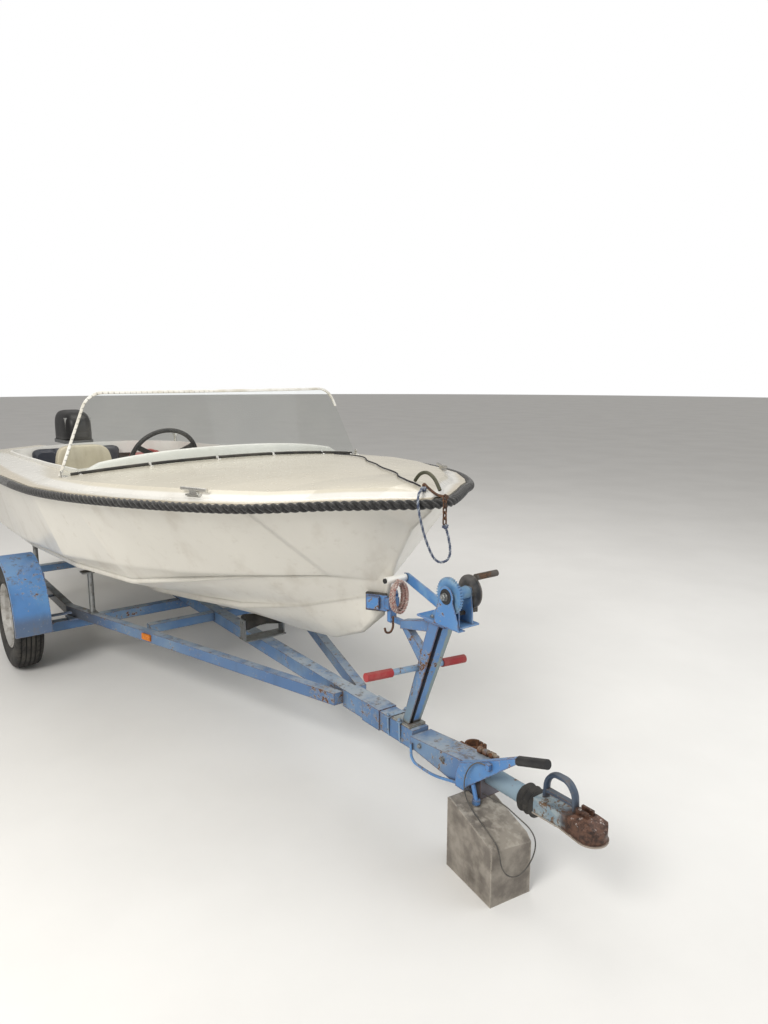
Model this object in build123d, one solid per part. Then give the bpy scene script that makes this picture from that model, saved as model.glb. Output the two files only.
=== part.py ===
from build123d import *
import os
from math import atan2, cos, degrees, dist, radians, sin, sqrt, tan

# Small outboard runabout on its braked single-axle road trailer, in millimetres.
# +X points to the bow and the tow coupling, +Y to port, +Z up, the ground is z = 0.
# Every X below is measured from the wheel axle. The finished pieces are then moved so that
# the middle of the overall length is x = 0.

# Overall places
COUPLING_TIP_X = 3140
OUTBOARD_REAR_X = -2230
X_MID = (COUPLING_TIP_X + OUTBOARD_REAR_X) / 2
SEAT_GAP = 0.3
RUNNING_CLEARANCE = 0.05

# Hull shell
SHELL_T = 8
TRANSOM_X = -1750
TRANSOM_T = 45
TRANSOM_CUT_Z = 905
TRANSOM_CUT_W = 520
KEEL_Z = 412
RAIL_W = 16
RAIL_H = 24
LAP_W = 5
LAP_H = 6
SOLID_BOW_X = 2000
# Columns: x, keel z, inner strake y and z, chine rail y and z, topside seam y and z,
# sheer y and z, share of the rail section that is left
HULL_STATIONS = [
    (TRANSOM_X, KEEL_Z, 335, 455, 640, 535, 700, 585, 775, 962, 1.0),
    (-900, KEEL_Z, 360, 462, 715, 578, 760, 628, 845, 985, 1.0),
    (0, KEEL_Z, 380, 478, 755, 640, 805, 688, 890, 1026, 1.0),
    (800, 414, 380, 512, 738, 690, 788, 752, 905, 1062, 1.0),
    (1200, 424, 330, 556, 618, 684, 678, 776, 850, 1080, 1.0),
    (1500, 445, 268, 590, 478, 738, 540, 790, 762, 1094, 0.9),
    (1800, 492, 160, 652, 325, 798, 340, 808, 632, 1106, 0.3),
    (SOLID_BOW_X, 572, 66, 714, 158, 816, 170, 826, 500, 1112, 0.25),
    (2130, 674, 14, 756, 40, 812, 52, 826, 387, 1124, 0.12),
    (2200, 884, 8, 892, 18, 902, 30, 914, 300, 1130, 0.05),
    (2290, 1020, 6, 1026, 14, 1034, 28, 1046, 200, 1135, 0.05),
    (2388, 1096, 4, 1100, 8, 1104, 16, 1110, 80, 1139, 0.03),
]

# Deck moulding
DECK_T = 7
DECK_EDGE_H = 9
DECK_NOSE_X = 2420
DECK_NOSE_HALF_W = 26
DECK_MARGIN = 62
DECK_BEVEL = 46
PANEL_RISE = 26
PANEL_AFT_X = 530
PANEL_RAMP = 390
CROWN_RATIO = 0.045

# Cockpit and motor well
COCKPIT_FRONT_X = 832
COCKPIT_SIDE_X = 735
COCKPIT_HALF_W = 690
COCKPIT_AFT_HALF_W = 590
COCKPIT_AFT_X = -1360
COCKPIT_CORNER_R = 90
WELL_HALF_W = 300
WELL_FRONT_X = -1455
WELL_FLOOR_Z = 822
WELL_WALL = 8
COAMING_T = 12
COAMING_UP = 16
COAMING_DOWN = 70
FLOOR_Z = 545
FLOOR_T = 12
FLOOR_FRONT_X = 1300
FLOOR_AFT_X = -1350
FLOOR_HALF_W = 560

# Windscreen
SCREEN_T = 5
SCREEN_LOW_Z = 1040
SCREEN_LOW_MID_X = 943
SCREEN_LOW_END_X = 797
SCREEN_LOW_HALF_W = 809
SCREEN_TOP_Z = 1464
SCREEN_TOP_MID_X = 842
SCREEN_TOP_END_X = 764
SCREEN_TOP_HALF_W = 633
SCREEN_CORNER_R = 110
TRIM_W = 16
TRIM_T = 12
SEAL_R = 7

# Bow lines: deck cord, hose arch, hanging rope, bar and chain
DECK_CORD_R = 3
HOSE_R = 6
BOW_ROPE_R = 4
BOW_BAR_R = 4.5
BOW_BAR_Y = -20
BOW_BAR_Z = 1163
LINK_WIRE_R = 2.75
LINK_R = 6
LINK_STRAIGHT = 12
LINKS = 5

# Fender rope round the gunwale
ROPE_R = 17
ROPE_DROP = 6
ROPE_CLEAR = 0.2

# Helm
WHEEL_CENTRE = (600, -235, 1118)
WHEEL_RAKE = 25
WHEEL_RING_R = 165
WHEEL_GRIP_R = 11
COLUMN_R = 19
COLUMN_BORE_R = 9
DASH_AFT_X = 745
DASH_T = 12
DASH_LOW_Z = 800
DASH_HALF_W = 560

# Seats
SEAT_X = -330
SEAT_Y = -330
SEAT_W = 450
BENCH_FRONT_X = -960
BENCH_TOP_Z = 770
CUSHION_T = 70

# Outboard motor
TILT_AXIS_X = -1790
TILT_AXIS_Z = 968
STEER_AXIS_X = -1880
COWL_LOW_Z = 1024
COWL_TOP_Z = 1258
COWL_W = 330
COWL_FRONT_X = -1782
COWL_REAR_X = -2150
SHAFT_Z = 278
PROPELLER_R = 120
PROPELLER_X = -2090
PLATE_Z = 408
SKEG_Z = 150

# Road wheels and axle
TYRE_R = 281
TYRE_W = 140
TRACK_HALF = 850
RIM_R = 170
STUD_CIRCLE_R = 50
HUB_R = 66
HUB_BORE_R = 40
SPINDLE_R = 17.5
AXLE_TUBE = 50
AXLE_TUBE_X = 140
AXLE_TUBE_Z = 223

# Mudguards
GUARD_R = 318
GUARD_T = 3
GUARD_W = 172
GUARD_LIP = 22
GUARD_FROM = -6
GUARD_TO = 186

# Trailer frame
BAR_W = 60
BAR_TOP_Z = 309
SLEEVE_W = 72
SLEEVE_AFT_X = 1900
SLEEVE_FRONT_X = 2345
FRAME_AFT_X = -960
MEMBER_W = 40
MEMBER_H = 50
MEMBER_TOP_Z = 305
MEMBER_KNEE_X = 80
MEMBER_KNEE_Y = 610
MEMBER_FRONT_X = 1900
BUNK_Y = 560
BUNK_W = 60
BUNK_T = 30
BUNK_FRONT_X = 420
BUNK_AFT_X = -820
ROLLER_XS = (1150, -60, -880)
ROLLER_R = 38
ROLLER_L = 190

# Winch post and winch
POST_FOOT_X = 2298
POST_FOOT_DEPTH = 36
POST_FOOT_HALF = 26
POST_HEAD_X = 2456
POST_HEAD_Z = 745
POST_HEAD_DEPTH = 50
POST_HEAD_HALF = 37
CHANNEL_T = 4
GAP_FOOT = 10
GAP_HEAD = 22
KNEE_AFT_X = 2248
KNEE_AFT_Z = 660
DRUM_X = 2543
DRUM_Z = 857
GEAR_R = 58
GEAR_TEETH = 40
GEAR_T = 8
GEAR_Y = -44
PINION_ANGLE = -100
PINION_TEETH = 10
DRUM_R = 20
FLANGE_R = 55
FLANGE_Y = 36
AXLE_R = 8
CHEEK_T = 5
CHEEK_Y = 31
CRANK_Y = 78
CRANK_REACH = 110
CRANK_SHAFT_R = 7
HANDLE_X = 2362
HANDLE_Z = 552
HANDLE_R = 11
HANDLE_ROLL = 4.46
HANDLE_STARBOARD = 243
HANDLE_PORT = 181
GRIP_L = 105
GRIP_R = 15

# Bow rests on the post
STEM_REST_X = 2197
STEM_REST_Z = 826
STEM_REST_R = 13
STEM_REST_L = 88
REST_ARM_Y = 48
STOP_APEX_X = 2162
STOP_ANGLE = 33
STOP_LOW_Z = 698
STOP_HIGH_Z = 764
STOP_STEM_Z = 675
HANK_W = 86
HANK_H = 134

# Overrun coupling
HOUSING_AFT_LOW_Z = 258
HOUSING_AFT_TOP_Z = 299.5
HOUSING_KNEE_X = 2600
HOUSING_FRONT_X = 2700
HOUSING_LOW_Z = 228
HOUSING_TOP_Z = 333
HOUSING_W = 92
CLAMP_X = 2530
CLAMP_Z = 281
CLAMP_H = 60
CLAMP_R = 24.3
TUBE_Z = 298
TUBE_R = 29
TUBE_AFT_X = 2664
TUBE_FRONT_X = 2940
BELLOWS_AFT_X = 2842
HEAD_AFT_X = 2910
BALL_X = 3086
BALL_R = 25.2
BALL_DEPTH = 28
NOSE_R = 44
HEAD_LOW_Z = 288
HEAD_TOP_Z = 352
LEVER_W = 26
CABLE_R = 2

# Support block under the tongue
BLOCK_AFT_X = 2636
BLOCK_FRONT_X = 2867
BLOCK_AFT_Z = 240
BLOCK_FRONT_Z = 188


def block(x0, x1, y0, y1, z0, z1):
    """Rectangular solid between two opposite corners."""
    size = Box(x1 - x0, y1 - y0, z1 - z0)
    return Pos((x0 + x1) / 2, (y0 + y1) / 2, (z0 + z1) / 2) * size


def rod(start, end, radius):
    """Round bar between two points."""
    path = Line(start, end)
    return sweep(Plane(path @ 0, z_dir=path % 0) * Circle(radius), path=path)


def plate(points, plane, thickness, both=False):
    """Flat outline of straight edges on a plane, made solid."""
    return extrude(plane * make_face(Polyline(*points, close=True)), amount=thickness, both=both)


def mirrored(shape):
    """The piece and its mirror image on the other side of the centreline."""
    return [shape, mirror(shape, about=Plane.XZ)]


def route(points, loops=0.45):
    """Straight runs joined by tangent arcs, and the radius of each arc."""
    corners = [Vector(*point) for point in points]
    radii = []
    for before, here, after in zip(corners, corners[1:], corners[2:]):
        turn = (here - before).get_angle(after - here)
        shorter = min((here - before).length, (after - here).length)
        radii.append(loops * shorter / tan(radians(turn / 2)))
    return FilletPolyline(*points, radius=radii), radii


def tube_along(points, radius, name):
    """Solid round cord along a route, with a line that compares its volume."""
    path, radii = route(points)
    solid = sweep(Plane(path @ 0, z_dir=path % 0) * Circle(radius), path=path)
    expected = 3.14159265 * radius * radius * path.length
    print(f"{name}: length {path.length:.0f}, smallest radius {min(radii):.1f}, "
          f"volume {solid.volume / expected:.4f} of section times length")
    return solid


def half_section(row, inset):
    """Starboard half of a hull section from keel to sheer, inset by a wall if one is given."""
    x, keel, y2, z2, y1, z1, ys, zs, ye, ze, share = row
    rail, height = RAIL_W * share, RAIL_H * share
    lap, step = LAP_W * share, LAP_H * share
    if inset:
        return [
            (0, keel + 1.3 * inset),
            (y2 - RAIL_W - inset, z2 + height + inset),
            (y1 - RAIL_W - inset, z1 + 0.9 * inset),
            (ys - LAP_W - inset, zs),
            (ye - inset, ze),
            (ye - inset, ze + 60),
        ]
    return [
        (0, keel),
        (y2 - rail, z2 - 0.2 * height),
        (y2, z2),
        (y2 - 0.6 * rail, z2 + height),
        (y1 - rail, z1 - 0.2 * height),
        (y1, z1),
        (y1 - 0.2 * rail, z1 + 0.8 * height),
        (ys - lap, zs - step),
        (ys, zs),
        (ye, ze),
    ]


def hull_loft(rows, inset=0):
    """Ruled loft through closed cross-sections made of straight lines."""
    wires = []
    for row in rows:
        half = half_section(row, inset)
        starboard = [(row[0], -y, z) for y, z in half]
        port = [(row[0], y, z) for y, z in reversed(half[1:])]
        wires.append(Wire.make_polygon([Vector(*p) for p in starboard + port], close=True))
    return Solid.make_loft(wires, ruled=True)


def hull_at(x):
    """Row of the hull table at any x, between its stations."""
    for low, high in zip(HULL_STATIONS, HULL_STATIONS[1:]):
        if low[0] <= x <= high[0]:
            share = (x - low[0]) / (high[0] - low[0])
            return tuple(a + (b - a) * share for a, b in zip(low, high))
    return HULL_STATIONS[-1] if x > 0 else HULL_STATIONS[0]


def make_hull():
    """Open shell with two spray rails a side, a lapped topside seam and a thick transom."""
    outer = hull_loft(HULL_STATIONS)
    inside_rows = [hull_at(TRANSOM_X + TRANSOM_T)] + [r for r in HULL_STATIONS[1:] if r[0] <= SOLID_BOW_X]
    shell = outer - hull_loft(inside_rows, SHELL_T)
    cut = block(TRANSOM_X - 10, TRANSOM_X + TRANSOM_T + 30, -TRANSOM_CUT_W / 2, TRANSOM_CUT_W / 2,
                TRANSOM_CUT_Z, TRANSOM_CUT_Z + 200)
    return shell - cut


def deck_points(x, half_w, edge_z):
    """Outer edge, bevel foot, bevel top and crown of the deck's upper surface at one station."""
    margin = min(DECK_MARGIN, 0.3 * half_w)
    bevel = min(DECK_BEVEL, 0.25 * half_w)
    forward = min(1, max(0, (x - PANEL_AFT_X) / PANEL_RAMP))
    rise = PANEL_RISE * (0.25 + 0.75 * forward) * min(1, half_w / 160)
    top = edge_z + DECK_EDGE_H
    foot = (half_w - margin, top + 5)
    panel = (half_w - margin - bevel, top + 5 + rise)
    crown = panel[1] + CROWN_RATIO * half_w
    return (half_w, top), foot, panel, crown


def deck_section(x, half_w, edge_z, lower, lift):
    """Closed deck section: crowned on top, and the same line again a thickness below."""
    edge, foot, panel, crown = deck_points(x, half_w, edge_z)

    def line(dz):
        return [
            Line((x, -edge[0], edge[1] + dz), (x, -foot[0], foot[1] + dz)),
            Line((x, -foot[0], foot[1] + dz), (x, -panel[0], panel[1] + dz)),
            ThreePointArc((x, -panel[0], panel[1] + dz), (x, 0, crown + dz), (x, panel[0], panel[1] + dz)),
            Line((x, panel[0], panel[1] + dz), (x, foot[0], foot[1] + dz)),
            Line((x, foot[0], foot[1] + dz), (x, edge[0], edge[1] + dz)),
        ]

    sides = [Line((x, s * edge[0], edge[1] + lift), (x, s * edge[0], edge[1] - lower)) for s in (-1, 1)]
    return Wire(line(lift) + line(-lower) + sides)


def deck_loft(lower, lift=0):
    """The deck moulding's full area, from lower below its upper surface to lift above it."""
    rows = [(row[0], row[8], row[9]) for row in HULL_STATIONS]
    rows.append((DECK_NOSE_X, DECK_NOSE_HALF_W, HULL_STATIONS[-1][9] + 2))
    return Solid.make_loft([deck_section(*row, lower, lift) for row in rows], ruled=True)


def deck_z(x, y):
    """Height of the deck's upper surface."""
    row = hull_at(x)
    edge, foot, panel, crown = deck_points(x, row[8], row[9])
    y = abs(y)
    if y >= foot[0]:
        return edge[1] + (foot[1] - edge[1]) * (edge[0] - y) / (edge[0] - foot[0])
    if y >= panel[0]:
        return foot[1] + (panel[1] - foot[1]) * (foot[0] - y) / (foot[0] - panel[0])
    sagitta = crown - panel[1]
    radius = (panel[0] ** 2 + sagitta ** 2) / (2 * sagitta)
    return crown - radius + sqrt(radius ** 2 - y ** 2)


def arc_x(y, front_x, side_x, side_y):
    """X of the arc that runs across the boat through its middle and its two ends."""
    sagitta = front_x - side_x
    radius = (side_y ** 2 + sagitta ** 2) / (2 * sagitta)
    return front_x - radius + sqrt(radius ** 2 - y ** 2)


def cockpit_outline(grow=0):
    """Plan of the cockpit opening: bowed front, tapering sides, rounded aft corners."""
    front = ThreePointArc((COCKPIT_SIDE_X, -COCKPIT_HALF_W - grow), (COCKPIT_FRONT_X + grow, 0),
                          (COCKPIT_SIDE_X, COCKPIT_HALF_W + grow))
    sides = Polyline((COCKPIT_SIDE_X, COCKPIT_HALF_W + grow), (COCKPIT_AFT_X - grow, COCKPIT_AFT_HALF_W + grow),
                     (COCKPIT_AFT_X - grow, -COCKPIT_AFT_HALF_W - grow), (COCKPIT_SIDE_X, -COCKPIT_HALF_W - grow))
    face = make_face([front, sides])
    aft = face.vertices().sort_by(Axis.X)[:2]
    return fillet(aft, COCKPIT_CORNER_R + grow)


def make_deck():
    """Deck moulding with a raised foredeck panel, open cockpit and a drained motor well."""
    deck = deck_loft(DECK_T)
    deck -= extrude(Pos(0, 0, 800) * cockpit_outline(), amount=500)
    well_hole = block(TRANSOM_X - 20, WELL_FRONT_X, -WELL_HALF_W, WELL_HALF_W, 900, 1200)
    deck -= well_hole
    return deck


def make_motor_well():
    """Open tray inside the transom that catches the water under the motor."""
    aft = TRANSOM_X + TRANSOM_T + SEAT_GAP
    outer = block(aft, WELL_FRONT_X, -WELL_HALF_W, WELL_HALF_W, WELL_FLOOR_Z - WELL_WALL, 1200)
    inner = block(aft - 20, WELL_FRONT_X - WELL_WALL, -WELL_HALF_W + WELL_WALL, WELL_HALF_W - WELL_WALL,
                  WELL_FLOOR_Z, 1300)
    tray = outer - inner
    return tray & deck_loft(300, lift=0)


def make_coaming():
    """Upstanding rim round the cockpit opening, following the deck's height."""
    ring = cockpit_outline() - cockpit_outline(-COAMING_T)
    band = extrude(Pos(0, 0, 800) * ring, amount=500)
    return band & deck_loft(COAMING_DOWN, lift=COAMING_UP)


def make_cockpit_floor():
    """Flat sole with two bearers that stand on the bottom."""
    front = hull_at(FLOOR_FRONT_X)
    corner = 250
    points = [(FLOOR_AFT_X, -FLOOR_HALF_W + 60), (300, -FLOOR_HALF_W), (900, -FLOOR_HALF_W + 90),
              (FLOOR_FRONT_X, -corner), (FLOOR_FRONT_X, corner), (900, FLOOR_HALF_W - 90),
              (300, FLOOR_HALF_W), (FLOOR_AFT_X, FLOOR_HALF_W - 60)]
    sole = plate(points, Plane.XY.offset(FLOOR_Z), FLOOR_T)
    room = hull_loft([hull_at(TRANSOM_X + TRANSOM_T)] + [r for r in HULL_STATIONS[1:] if r[0] <= front[0] + 300],
                     SHELL_T + SEAT_GAP)
    bearers = [block(FLOOR_AFT_X + 50, 1000, s * 240 - 15, s * 240 + 15, KEEL_Z, FLOOR_Z) for s in (-1, 1)]
    return (sole + bearers) & room


def screen_band(mid_x, end_x, half_w, z, grow):
    """One level of the windscreen: an arc across the boat, half its thickness each way."""
    arc = ThreePointArc((end_x, -half_w, z), (mid_x, 0, z), (end_x, half_w, z))
    return make_face(offset(arc, SCREEN_T / 2 + grow, side=Side.BOTH)).face().outer_wire()


def make_screen_blank(grow=0):
    """Raked, curved sheet before its outline is cut and it is fitted to the deck."""
    low = screen_band(SCREEN_LOW_MID_X, SCREEN_LOW_END_X, SCREEN_LOW_HALF_W, SCREEN_LOW_Z, grow)
    top = screen_band(SCREEN_TOP_MID_X, SCREEN_TOP_END_X, SCREEN_TOP_HALF_W, SCREEN_TOP_Z, grow)
    return Solid.make_loft([low, top], ruled=True)


def screen_foot(y):
    """X and half width of the windscreen's middle surface where it meets the deck."""
    z = deck_z(SCREEN_LOW_END_X + 60, y)
    share = (z - SCREEN_LOW_Z) / (SCREEN_TOP_Z - SCREEN_LOW_Z)
    mid, end, half = (low + (top - low) * share for low, top in (
        (SCREEN_LOW_MID_X, SCREEN_TOP_MID_X), (SCREEN_LOW_END_X, SCREEN_TOP_END_X),
        (SCREEN_LOW_HALF_W, SCREEN_TOP_HALF_W)))
    return arc_x(y, mid, end, half), half


def screen_front_outline(trim):
    """Front view of the windscreen with rounded upper corners, inset by a trim width."""
    foot, head = SCREEN_LOW_HALF_W - trim, SCREEN_TOP_HALF_W - trim
    outline = make_face(Polyline((-foot, SCREEN_LOW_Z), (foot, SCREEN_LOW_Z), (head, SCREEN_TOP_Z - trim),
                                 (-head, SCREEN_TOP_Z - trim), close=True))
    corners = outline.vertices().sort_by(Axis.Y)[2:]
    return fillet(corners, SCREEN_CORNER_R - trim)


def make_windscreen():
    """Clear pane whose foot follows the crowned deck."""
    shape = extrude(Plane.YZ * screen_front_outline(TRIM_T / 2), amount=1600)
    return make_screen_blank() & shape - deck_loft(300)


def make_windscreen_trim():
    """White edging along the ends and the top of the pane."""
    ring = screen_front_outline(0) - Pos(0, -40) * screen_front_outline(TRIM_W)
    outer = extrude(Plane.YZ * ring, amount=1600)
    fat = make_screen_blank((TRIM_T - SCREEN_T) / 2)
    pane = extrude(Plane.YZ * screen_front_outline(TRIM_T / 2), amount=1600)
    body = fat & outer - deck_loft(300)
    return body - (make_screen_blank(SEAT_GAP) & pane)


def make_windscreen_seal():
    """Black cord laid along the foot of the windscreen."""
    forward = SCREEN_T / 2 + SEAL_R + SEAT_GAP + 3
    points = []
    half = screen_foot(0)[1]
    for share in (-0.96, -0.8, -0.6, -0.38, -0.13, 0.13, 0.38, 0.6, 0.8, 0.96):
        y = share * half
        x = screen_foot(y)[0] + forward
        points.append((x, y, deck_z(x, y) + SEAL_R - 2))
    return tube_along(points, SEAL_R, "windscreen_seal") - deck_loft(60, lift=SEAT_GAP)


def make_gunwale_rope():
    """Fender rope laid along the sheer and round the bow."""
    edge = [(row[0], -row[8]) for row in HULL_STATIONS] + [(DECK_NOSE_X, -DECK_NOSE_HALF_W)]
    edge += [(x, -y) for x, y in reversed(edge)]
    heights = [row[9] - ROPE_DROP for row in HULL_STATIONS] + [HULL_STATIONS[-1][9] - ROPE_DROP]
    heights += heights[::-1]
    points = []
    for index, (x, y) in enumerate(edge):
        before, after = edge[max(0, index - 1)], edge[min(len(edge) - 1, index + 1)]
        first, last = atan2(y - before[1], x - before[0]), atan2(after[1] - y, after[0] - x)
        if index == 0:
            first = last
        if index == len(edge) - 1:
            last = first
        turn = (last - first + radians(540)) % radians(360) - radians(180)
        shorter = min(max(1, dist((x, y), before)), max(1, dist((x, y), after)))
        out = (ROPE_R + SEAT_GAP) / cos(turn / 2) + 0.45 * shorter * tan(turn / 4) + ROPE_CLEAR
        middle = first + turn / 2 - radians(90)
        points.append((x + out * cos(middle), y + out * sin(middle), heights[index]))
    return tube_along(points, ROPE_R, "gunwale_rope")



def on_deck(x, y, height):
    """Point at a height above the deck."""
    return x, y, deck_z(x, y) + height


def make_lashing_cord():
    """Thin black cord laid from the windscreen's port foot to the bow bar."""
    plan = [(1094, 452), (1140, 473), (1196, 482), (1262, 476), (1330, 458), (1396, 426), (1462, 386), (1530, 340),
            (1600, 304), (1674, 276), (1744, 246), (1812, 208), (1880, 180), (1950, 160), (2016, 134), (2078, 98),
            (2132, 56), (2184, 26), (2236, 6), (2284, -14), (2326, -20), (2356, -20)]
    points = [on_deck(x, y, DECK_CORD_R + 3) for x, y in plan]
    return tube_along(points, DECK_CORD_R, "lashing_cord")


def make_bow_hose():
    """Olive hose that arches over the nose, from the deck to the bow bar."""
    points = [(2296, 6, 1190), (2313, 5, 1210), (2340, 4, 1224), (2371, 2, 1226), (2402, -1, 1214), (2426, -5, 1195),
              (2442, -8, 1177)]
    return tube_along(points, HOSE_R, "bow_hose")


def make_bow_rope():
    """Rope that comes off the deck, over the gunwale rope, and hangs in a bight to the chain."""
    points = [(2388, -34, 1178), (2402, -56, 1176), (2420, -80, 1165), (2440, -97, 1142), (2446, -95, 1104),
              (2444, -82, 1066), (2445, -70, 1028), (2445, -54, 992), (2444, -36, 961), (2454.5, -24.5, 945),
              (2469.5, -7.5, 945), (2480, 4, 961), (2481, 6, 990), (2480, 0, 1020), (2480, -8, 1048)]
    return tube_along(points, BOW_ROPE_R, "bow_rope")


def chain_link(x, y, z, across):
    """Closed link standing upright; across turns its plane to lie athwartships."""
    half = LINK_STRAIGHT / 2
    path = Wire([Line((-LINK_R, 0, -half), (-LINK_R, 0, half)),
                 ThreePointArc((-LINK_R, 0, half), (0, 0, half + LINK_R), (LINK_R, 0, half)),
                 Line((LINK_R, 0, half), (LINK_R, 0, -half)),
                 ThreePointArc((LINK_R, 0, -half), (0, 0, -half - LINK_R), (-LINK_R, 0, -half))])
    link = sweep(Plane((-LINK_R, 0, 0), z_dir=(0, 0, 1)) * Circle(LINK_WIRE_R), path=path)
    return Pos(x, y, z) * Rot(0, 0, 90 if across else 0) * link


def make_bow_chain():
    """Rusty bar hooked over the nose, with a short chain hanging from its end."""
    y = BOW_BAR_Y
    path, _ = route([on_deck(2372, y, SEAT_GAP), on_deck(2372, y, 22), (2398, y, 1180), (2440, y, BOW_BAR_Z),
                     (2474, y, BOW_BAR_Z)])
    bar = sweep(Plane(path @ 0, z_dir=path % 0) * Circle(BOW_BAR_R), path=path)
    pin_r = LINK_R - LINK_WIRE_R - SEAT_GAP
    bar += rod((2470, y, BOW_BAR_Z), (2490, y, BOW_BAR_Z), pin_r)
    bar += rod((2488, y, BOW_BAR_Z), (2492, y, BOW_BAR_Z), BOW_BAR_R + 2)
    pieces = [bar]
    middle = LINK_STRAIGHT / 2 + LINK_R
    z = BOW_BAR_Z + pin_r + SEAT_GAP + LINK_WIRE_R - middle
    pitch = 2 * (middle - LINK_WIRE_R) - SEAT_GAP
    for index in range(LINKS):
        pieces.append(chain_link(2481, y, z - index * pitch, index % 2 == 0))
    return pieces


def make_rope_hook():
    """Steel hook that hangs from the hank's lower end."""
    x = STEM_REST_X + STEM_REST_R + 18
    low = STEM_REST_Z + 10 - HANK_H - SEAT_GAP
    path, _ = route([(x, -34, low), (x, -34, low - 40), (x - 2, -44, low - 58), (x - 6, -62, low - 56),
                     (x - 6, -66, low - 38)])
    return sweep(Plane(path @ 0, z_dir=path % 0) * Circle(4), path=path)


def make_cleats():
    """Two horned cleats near the edge of the foredeck."""
    cleats = []
    x = 1780
    y = hull_at(x)[8] - 75
    z = deck_z(x, y) + SEAT_GAP
    heading = degrees(atan2(hull_at(1800)[8] - hull_at(1500)[8], 300))
    foot = Pos(0, 0, 3) * Box(62, 24, 6)
    stem = Pos(0, 0, 12) * Box(34, 14, 14)
    horn = Pos(0, 0, 22) * Rot(0, 90, 0) * Cylinder(7, 120)
    cleat = foot + stem + horn
    deck = deck_loft(60, lift=SEAT_GAP)
    for side in (-1, 1):
        cleats.append(Pos(x, side * y, z) * Rot(0, 0, side * heading) * cleat - deck)
    return cleats


def make_stern_fittings():
    """Fairlead posts and round vents on the aft quarters."""
    x, y = -1520, 640
    z = deck_z(x, y) + SEAT_GAP
    post = Pos(x, -y, z) * (Pos(0, 0, 4) * Cylinder(26, 8) + Pos(0, 0, 34) * Cylinder(10, 60)
                            + Pos(0, 0, 66) * Rot(0, 90, 0) * Cylinder(12, 46))
    return mirrored(post - deck_loft(60, lift=SEAT_GAP))


def make_dashboard():
    """Panel under the deck's aft edge, with the tube that carries the steering wheel's shaft."""
    band = cockpit_outline() - cockpit_outline(-DASH_T)
    band = band & Pos(COCKPIT_FRONT_X, 0) * Rectangle(2 * (COCKPIT_FRONT_X - DASH_AFT_X), 2 * DASH_HALF_W)
    panel = extrude(Pos(0, 0, DASH_LOW_Z) * band, amount=300) - deck_loft(COAMING_DOWN + SEAT_GAP, lift=50)
    plane = steering_plane()
    front_x = arc_x(WHEEL_CENTRE[1], COCKPIT_FRONT_X, COCKPIT_SIDE_X, COCKPIT_HALF_W)
    reach = (front_x - WHEEL_CENTRE[0]) / cos(radians(WHEEL_RAKE)) + 60
    tube = extrude(plane.offset(-reach) * Circle(COLUMN_R), amount=reach - 36)
    bore = extrude(plane.offset(-90) * Circle(COLUMN_BORE_R + RUNNING_CLEARANCE), amount=80)
    return panel + tube - bore


def steering_axis():
    """Direction from the dashboard to the driver along the steering column."""
    return Vector(-cos(radians(WHEEL_RAKE)), 0, sin(radians(WHEEL_RAKE)))


def steering_plane():
    """Plane of the steering wheel, facing the driver."""
    return Plane(WHEEL_CENTRE, x_dir=(0, 1, 0), z_dir=steering_axis())


def make_steering_wheel():
    """Ring with three dished spokes, hub and shaft."""
    plane = steering_plane()
    ring = plane * Torus(WHEEL_RING_R, WHEEL_GRIP_R)
    hub = extrude(plane.offset(-30) * Circle(30), amount=34)
    shaft = extrude(plane.offset(-80) * Circle(COLUMN_BORE_R), amount=55)
    wheel = ring + hub + shaft
    for angle in (90, 210, 330):
        spoke = plane * Rot(0, 0, angle) * Pos(WHEEL_RING_R / 2 + 8, 0, -4) * Box(WHEEL_RING_R - 26, 26, 5)
        wheel += spoke
    return wheel


def make_helm_seat():
    """Moulded bucket seat on a box pedestal."""
    low, high = 790, 1118
    points = [(230, low), (230, low + 62), (40, low + 50), (-40, low + 96), (-100, high - 30), (-132, high),
              (-165, high - 20), (-150, low + 80), (-110, low)]
    shell = plate(points, Plane.XZ, SEAT_W / 2, both=True)
    pedestal = block(-90, 200, -150, 150, FLOOR_Z + FLOOR_T + SEAT_GAP, low)
    seat = Pos(SEAT_X, SEAT_Y, 0) * (shell + pedestal)
    return seat


def make_aft_bench():
    """Box seat across the stern with an upright back panel."""
    y = 500
    low = FLOOR_Z + FLOOR_T + SEAT_GAP
    aft = COCKPIT_AFT_X
    front = block(BENCH_FRONT_X, BENCH_FRONT_X + 12, -y, y, low, BENCH_TOP_Z)
    top = block(aft, BENCH_FRONT_X + 12, -y, y, BENCH_TOP_Z - 12, BENCH_TOP_Z)
    back = block(aft, aft + 12, -y, y, BENCH_TOP_Z, 905)
    return front + top + back


def make_bench_cushions():
    """Seat pad and three-quarter back pad of the aft bench."""
    aft = COCKPIT_AFT_X + 12 + SEAT_GAP
    low = BENCH_TOP_Z + SEAT_GAP
    seat = block(aft + CUSHION_T + 12, BENCH_FRONT_X + 10, -470, 150, low, low + CUSHION_T)
    back = block(aft, aft + CUSHION_T, -470, 150, low, low + 270)
    return [fillet(pad.edges(), 18) for pad in (seat, back)]


def make_fuel_tank():
    """Portable tank standing on the port end of the bench."""
    low = BENCH_TOP_Z + SEAT_GAP
    x0, x1 = COCKPIT_AFT_X + 60, COCKPIT_AFT_X + 370
    body = block(x0, x1, 190, 440, low, low + 190)
    body = fillet(body.edges(), 30)
    cap = Pos(x0 + 90, 315, low + 190 + 12) * Cylinder(32, 26)
    handle = block(x0 + 150, x0 + 270, 305, 325, low + 180, low + 220) - block(
        x0 + 170, x0 + 250, 300, 330, low + 192, low + 208)
    return body + cap + handle


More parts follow.
